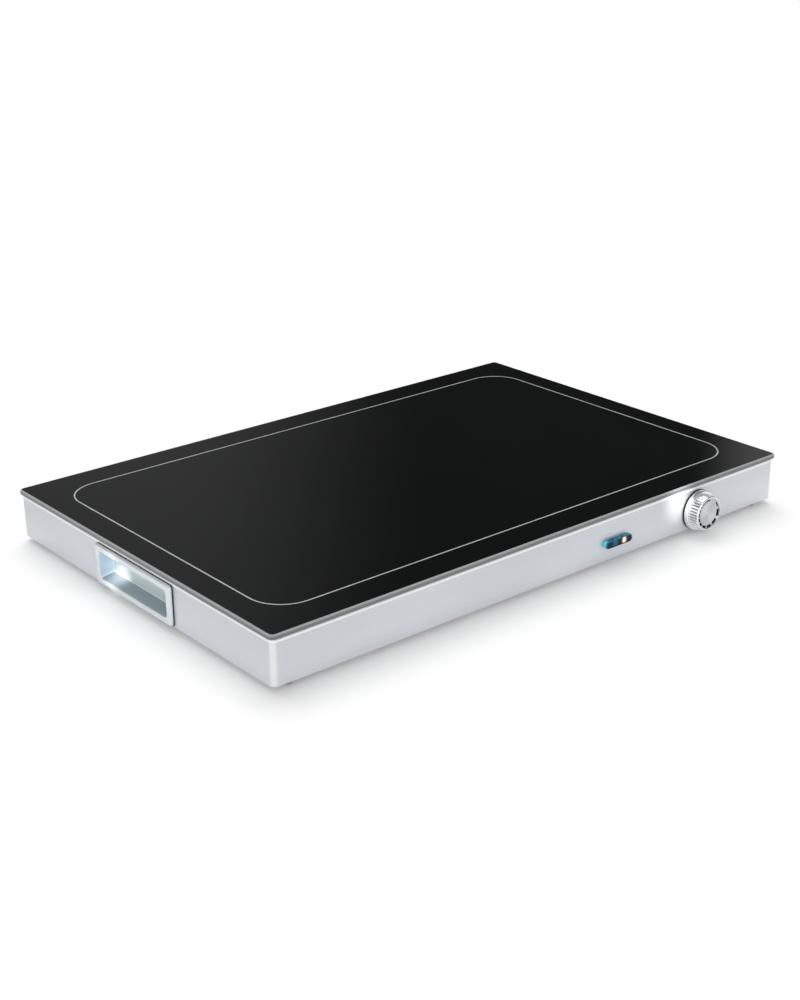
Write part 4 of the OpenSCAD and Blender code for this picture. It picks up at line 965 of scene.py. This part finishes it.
@dataclass
class Grips:
    """The two recessed finger grips, each one smooth moulding with a rim and a drafted recess.

    back_edge holds the outlines that round the hidden back: how far each lies in front of it, how
    far in from its side, and its corner radius, in millimetres. flank holds those of the rim's
    outside: the share of the rim's thickness, and the shares of the taper that come off its size
    and off its corner radius.
    """

    rim_l: float = 6.5 * MM
    rim_h: float = 5.8 * MM
    rim_r: float = 3.0 * MM
    rim_t: float = 2.5 * MM
    taper: float = 1.0 * MM
    gasket: float = 1.0 * MM
    half_l: float = GRIP_SIZE.y / 2 - rim_l
    half_h: float = GRIP_SIZE.z / 2 - rim_h
    mouth_r: float = 4.5 * MM
    lip: float = 0.7 * MM
    lip_steps: int = 3
    depth: float = 10.0 * MM
    draft_l: float = 2.0 * MM
    draft_h: float = 3.3 * MM
    foot_r: float = 1.6 * MM
    floor_r: float = 1.5 * MM
    floor_steps: int = 5
    least_r: float = 0.1 * MM
    wall: float = 1.6 * MM
    back_edge: Profile = ((0.0, 1.2, 2.2), (0.35, 0.35, 3.0), (1.2, 0.0, 3.2))
    flank: Profile = ((0.0, 0.0, 0.0), (0.45, 0.0, 0.0), (0.55, 0.06, 0.0),
                      (0.88, 0.92, 0.5), (0.968, 1.08, 0.5), (1.0, 1.32, 0.7))
    boss_y: float = 30.0 * MM
    boss_r: float = 3.2 * MM
    boss_end_r: float = boss_r * 0.94
    boss_l: float = 3.0 * MM
    boss_sunk: float = 0.8 * MM
    boss_steps: int = 28
    hole_r: float = 1.55 * MM

    def cup(self, side: int, name: str, node: str) -> None:
        """Makes one grip from its hidden back, round the rim and down into the recess.

        Args:
            side: -1 for the left end wall and 1 for the right.
            name: the piece's name.
            node: the CAD node that it stands for.
        """
        place = Matrix(((0, 0, -side, side * BAND_HIGH.x), (1, 0, 0, GRIP.y), (0, 1, 0, GRIP.z),
                        (0, 0, 0, 1)))
        cup = Moulding(place)
        back_l = self.half_l - self.draft_l + self.wall
        back_h = self.half_h - self.draft_h + self.wall
        for out, inset, radius in self.back_edge:
            cup.ring(self.depth + self.wall - out * MM, back_l - inset * MM, back_h - inset * MM,
                     radius * MM)
        cup.ring(-self.gasket, self.half_l + self.wall, self.half_h + self.wall,
                 self.mouth_r + self.wall)
        self.rim(cup)
        self.mouth(cup)
        cup.bridge(closed=False)
        self.bosses(cup, side)
        cup.piece(name, Look.GRIP, "tray", node)

    def rim(self, cup: Moulding) -> None:
        """Adds the flange: flat back, upright edge, sloping flank and flat face.

        Args:
            cup: the grip's moulding.
        """
        for out, inward, tighter in self.flank:
            cup.ring(-self.gasket - self.rim_t * out, GRIP_SIZE.y / 2 - self.taper * inward,
                     GRIP_SIZE.z / 2 - self.taper * inward, self.rim_r - self.taper * tighter)

    def mouth(self, cup: Moulding) -> None:
        """Adds the rounded lip, the drafted walls and the rounded corner at the floor.

        Args:
            cup: the grip's moulding.
        """
        face = -self.gasket - self.rim_t
        for step in range(self.lip_steps + 1):
            turn = math.pi / 2 * step / self.lip_steps
            inset = self.lip * (1 - math.sin(turn))
            cup.ring(face + self.lip * (1 - math.cos(turn)), self.half_l + inset, self.half_h + inset,
                     self.mouth_r + inset)
        for step in range(self.floor_steps + 1):
            turn = math.pi / 2 * step / self.floor_steps
            inset = self.floor_r * (1 - math.cos(turn))
            level = self.depth - self.floor_r * (1 - math.sin(turn))
            share = (level - face - self.lip) / (self.depth - face - self.lip)
            radius = self.mouth_r + (self.foot_r - self.mouth_r) * share - inset
            cup.ring(level, self.half_l - self.draft_l * share - inset,
                     self.half_h - self.draft_h * share - inset, max(radius, self.least_r))

    def bosses(self, cup: Moulding, side: int) -> None:
        """Adds the two screw bosses behind the recess, each with its pilot hole.

        Args:
            cup: the grip's moulding, bridged and in place.
            side: -1 for the left end wall and 1 for the right.
        """
        back_x = BAND_HIGH.x - self.depth - self.wall
        turn = Matrix.Rotation(math.radians(-90 * side), 4, "Y")
        for row in (-1, 1):
            middle = (side * (back_x - self.boss_l / 2 + self.boss_sunk / 2),
                      GRIP.y + row * self.boss_y, GRIP.z)
            made = bmesh.ops.create_cone(cup.shape, cap_ends=True, segments=self.boss_steps,
                                         radius1=self.boss_r, radius2=self.boss_end_r,
                                         depth=self.boss_l + self.boss_sunk,
                                         matrix=Matrix.Translation(middle) @ turn)
            caps = {face for vert in made["verts"] for face in vert.link_faces if len(face.verts) > 4}
            end = min(caps, key=lambda face: abs(face.calc_center_median().x))
            bmesh.ops.inset_region(cup.shape, faces=[end], thickness=self.boss_end_r - self.hole_r)
            hole = bmesh.ops.extrude_discrete_faces(cup.shape, faces=[end])["faces"]
            bmesh.ops.translate(cup.shape, verts=hole[0].verts[:], vec=(side * self.boss_l, 0, 0))

    def dress(self) -> None:
        """Makes both grips in their finish."""
        self.cup(-1, "grip_left", "handle_left")
        self.cup(1, "grip_right", "handle_right")


@dataclass
class Controls:
    """The dial with its thermostat, and the indicator.

    roll and crown hold the outlines of the rim's rolled edge and of the lens's crown: how far each
    lies behind the rim's front, and how far in from the rim's outside or its inside, in millimetres.
    """

    proud: float = BAND_LOW.y - PILL_LOW.y
    sleeve: float = PILL_HIGH.y - BAND_LOW.y
    sleeve_t: float = 0.6 * MM
    rim_w: float = 1.1 * MM
    fit: float = 0.05 * MM
    lens_wall: float = 0.8 * MM
    lens_hollow: float = 1.7 * MM
    end_steps: int = 14
    nearly_round: float = 0.998
    roll: Profile = ((1.2, 0.0), (0.82, 0.03), (0.46, 0.14), (0.18, 0.33), (0.02, 0.60), (0.0, 0.78),
                     (0.08, 0.96), (0.22, 1.06), (0.42, 1.1))
    crown: Profile = ((0.8, 0.05), (0.58, 0.12), (0.46, 0.35), (0.42, 0.8), (0.4, 1.6))

    def pill(self, shape: Moulding, out: float, inset: float) -> None:
        """Adds one pill outline of the indicator, inset from its outer edge."""
        half_l, half_h = PILL_SIZE.x / 2 - inset, PILL_SIZE.z / 2 - inset
        shape.ring(out, half_l, half_h, half_h * self.nearly_round)

    def indicator(self) -> None:
        """Makes the rounded rim with its sleeve, and the crowned lens inside it."""
        place = Matrix(((1, 0, 0, PILL.x), (0, 0, -1, BAND_LOW.y), (0, 1, 0, PILL.z), (0, 0, 0, 1)))
        rim = Moulding(place, self.end_steps)
        self.pill(rim, 0.0, 0.0)
        for back, inset in self.roll:
            self.pill(rim, self.proud - back * MM, inset * MM)
        self.pill(rim, -self.sleeve, self.rim_w)
        self.pill(rim, -self.sleeve, self.rim_w - self.sleeve_t)
        self.pill(rim, -2 * HAIR, self.rim_w - self.sleeve_t)
        rim.bridge(closed=True)
        rim.piece("indicator_bezel", Look.TEAL, "tray", "indicator_rim")
        lens = Moulding(place, self.end_steps)
        self.pill(lens, self.proud - self.lens_hollow, self.rim_w + self.lens_wall)
        self.pill(lens, -self.sleeve, self.rim_w + self.lens_wall)
        self.pill(lens, -self.sleeve, self.rim_w + self.fit)
        for back, inset in self.crown:
            self.pill(lens, self.proud - back * MM, self.rim_w + inset * MM)
        lens.bridge(closed=False)
        lens.piece("indicator_window", Look.LENS, "tray", "indicator_lens")

    def dress(self) -> None:
        """Gives each piece its finish."""
        self.indicator()
        put_on(Look.BLACK, "dial_ring", "lamp_holder")
        put_on(Look.DIAL, "dial")
        put_on(Look.DISC, "dial_face")
        put_on(Look.MARK, "dial_marks")
        put_on(Look.STEEL, "spindle")
        put_on(Look.PHENOLIC, "thermostat_body")
        put_on(Look.FASTENER, "thermostat_screws")
        put_on(Look.BRASS, "thermostat_tabs", "lamp_tabs")
        put_on(Look.COPPER, "sensor_bulb", "capillary")
        put_on(Look.SPRING, "sensor_clips", "lamp_clip")
        put_on(Look.LAMP, "glow_lamp")


@dataclass
class Heater:
    """What lies under the glass."""

    def dress(self) -> None:
        """Gives each piece its finish."""
        put_on(Look.ALUMINIUM, "heat_spreader", "reflector_pan", "cable_straps")
        put_on(Look.FASTENER, "strap_rivets")
        put_on(Look.CABLE, "heating_cable")
        put_on(Look.CERAMIC, "thermal_fuse")
        put_on(Look.MAT, "insulation_mat")


@dataclass
class Supply:
    """The mains inlet and the wiring."""

    def dress(self) -> None:
        """Gives each piece its finish."""
        put_on(Look.BLACK, "inlet_housing")
        put_on(Look.BRASS, "inlet_pins", "terminal_screws", "earth_stud")
        put_on(Look.FASTENER, "inlet_screws")
        put_on(Look.CERAMIC, "terminal_block")
        put_on(Look.SLEEVE, "tab_sleeves", "splices")
        put_on(Look.BROWN, "live_leads")
        put_on(Look.BLUE, "neutral_leads")
        put_on(Look.GREEN, "earth_lead")


# ---------------------------------------------------------------- studio


@dataclass
class Lamp:
    """A lamp that stands at a place and points at another."""

    name: str
    place: Triple
    aim: Triple
    strength: float
    spread: float
    kind: str = "SUN"

    def build(self) -> None:
        """Makes the lamp and points it."""
        data = bpy.data.lights.new(self.name, self.kind)
        data.energy = self.strength
        self.shape(data)
        lamp = bpy.data.objects.new(self.name, data)
        bpy.context.scene.collection.objects.link(lamp)
        lamp.location = self.place
        lamp.rotation_euler = (Vector(self.aim) - Vector(self.place)).to_track_quat("-Z", "Y").to_euler()

    def shape(self, data: Any) -> None:
        """Sets how wide the even light comes from."""
        data.angle = math.radians(self.spread)


@dataclass
class Spot(Lamp):
    """A narrow lamp that leaves one soft patch of light."""

    kind: str = "SPOT"
    edge: float = 1.0
    bulb_r: float = 0.01

    def shape(self, data: Any) -> None:
        """Sets the cone and its soft edge.

        Args:
            data: the lamp's data.
        """
        data.spot_size = math.radians(self.spread)
        data.spot_blend = self.edge
        data.shadow_soft_size = self.bulb_r


@dataclass
class Studio:
    """White floor and surroundings, soft lamps and the camera.

    Gloss sees a dark ring round the horizon. clockwise, anticlockwise and far_clockwise add up to
    its brightness: each goes from one value to another between two bearings from darkest_way, in
    radians. above and below are the heights between which white takes over.
    """

    floor_size: float = 60.0
    floor_colour: Colour = (0.86, 0.86, 0.86)
    floor_lift: float = 0.16
    white: Colour = (1.0, 1.0, 1.0)
    sky: float = 0.5
    darkest_way: float = 48.0
    clockwise: Change = (-0.145, -0.19, 0.028, 0.33)
    anticlockwise: Change = (0.02, 0.20, 0.0, 0.16)
    far_clockwise: Change = (-0.5, -1.2, 0.0, -0.18)
    above: Span = (0.766, 0.883)
    below: Span = (0.15, 0.08)
    lamps: tuple[Lamp, ...] = (
        Lamp("key", place=(0.22, 0.44, 0.9), aim=(0.0, 0.0, 0.0), strength=1.45, spread=50.0),
        Lamp("fill", place=(-0.6, -0.72, 0.34), aim=(0.0, 0.0, 0.0), strength=0.9, spread=60.0),
        Spot("dial_glow", place=(0.02, -0.95, 0.36), aim=(0.161, -0.192, 0.037), strength=66.0,
             spread=2.6),
        Spot("grip_glow", place=(-0.80, -0.16, 0.47), aim=(-0.296, 0.042, 0.0192), strength=95.0,
             spread=1.65),
    )
    camera_place: Triple = (-0.933591, -1.113148, 0.610229)
    camera_right: Triple = (0.76814938, -0.64020881, -0.00889984)
    camera_up: Triple = (0.24620906, 0.28252355, 0.92712542)
    camera_back: Triple = (-0.59103945, -0.71436203, 0.3746455)
    lens: float = 59.451
    film: float = 36.0

    def build(self) -> None:
        """Makes everything round the tray."""
        self.make_camera()
        self.make_floor()
        self.make_world()
        for lamp in self.lamps:
            lamp.build()

    def make_camera(self) -> None:
        """Stands the camera where the photograph was taken from."""
        data = bpy.data.cameras.new("camera")
        data.lens = self.lens
        data.sensor_width = self.film
        data.clip_start, data.clip_end = 0.05, 100.0
        camera = bpy.data.objects.new("camera", data)
        bpy.context.scene.collection.objects.link(camera)
        turn = Matrix((self.camera_right, self.camera_up, self.camera_back)).transposed()
        camera.matrix_world = Matrix.Translation(self.camera_place) @ turn.to_4x4()
        bpy.context.scene.camera = camera

    def make_floor(self) -> None:
        """Lays the white floor, which keeps the tray's shadow."""
        mesh = bpy.data.meshes.new("studio_floor")
        shape = bmesh.new()
        bmesh.ops.create_grid(shape, x_segments=2, y_segments=2, size=self.floor_size / 2)
        shape.to_mesh(mesh)
        shape.free()
        floor = bpy.data.objects.new("studio_floor", mesh)
        bpy.context.scene.collection.objects.link(floor)
        material = bpy.data.materials.new("studio_floor")
        material.use_nodes = True
        maker = NodeMaker(material.node_tree)
        rays = maker.node("ShaderNodeLightPath")
        seen = (rays.value("Is Camera Ray") + rays.value("Is Glossy Ray")
                + rays.value("Is Transmission Ray")).smaller(1.0)
        matt = maker.node("ShaderNodeBsdfDiffuse", None, {"Color": self.floor_colour})
        lift = maker.node("ShaderNodeEmission", None,
                          {"Color": self.white, "Strength": seen * self.floor_lift})
        both = maker.node("ShaderNodeAddShader", None, {0: matt.out(), 1: lift.out()})
        maker.node("ShaderNodeOutputMaterial", None, {"Surface": both.out()})
        mesh.materials.append(material)

    def make_world(self) -> None:
        """Surrounds the tray with even light, a white background and a dark ring for gloss."""
        world = bpy.data.worlds.new("studio")
        bpy.context.scene.world = world
        world.use_nodes = True
        maker = NodeMaker(world.node_tree)
        rays = maker.node("ShaderNodeLightPath")
        seen = (rays.value("Is Camera Ray") + rays.value("Is Transmission Ray")).smaller(1.0)
        glossy = rays.value("Is Glossy Ray")
        way = maker.node("ShaderNodeSeparateXYZ", None,
                         {0: maker.node("ShaderNodeTexCoord").out("Generated")})
        up = way.value(2)
        turn = math.radians(self.darkest_way)
        along = way.value(0) * math.cos(turn) + way.value(1) * math.sin(turn)
        across = way.value(1) * math.cos(turn) - way.value(0) * math.sin(turn)
        bearing = across.bearing(along)
        ring = (bearing.ramp(*self.clockwise) + bearing.ramp(*self.anticlockwise)
                + bearing.ramp(*self.far_clockwise))
        wall = ring + (1 - ring) * (up.ramp(*self.above) + up.ramp(*self.below))
        strength = seen + (1 - seen) * (glossy * wall + (1 - glossy) * self.sky)
        sky = maker.node("ShaderNodeBackground", None, {"Color": self.white, "Strength": strength})
        maker.node("ShaderNodeOutputWorld", None, {"Surface": sky.out()})


def main() -> None:
    """Builds the studio and dresses the tray."""
    logging.basicConfig(level=logging.INFO, format="%(name)s %(message)s")
    bpy.context.scene.view_settings.view_transform = "Standard"
    Studio().build()
    for part in (HotPlate(), Case(), Grips(), Controls(), Heater(), Supply()):
        part.dress()


if __name__ == "__main__":
    main()
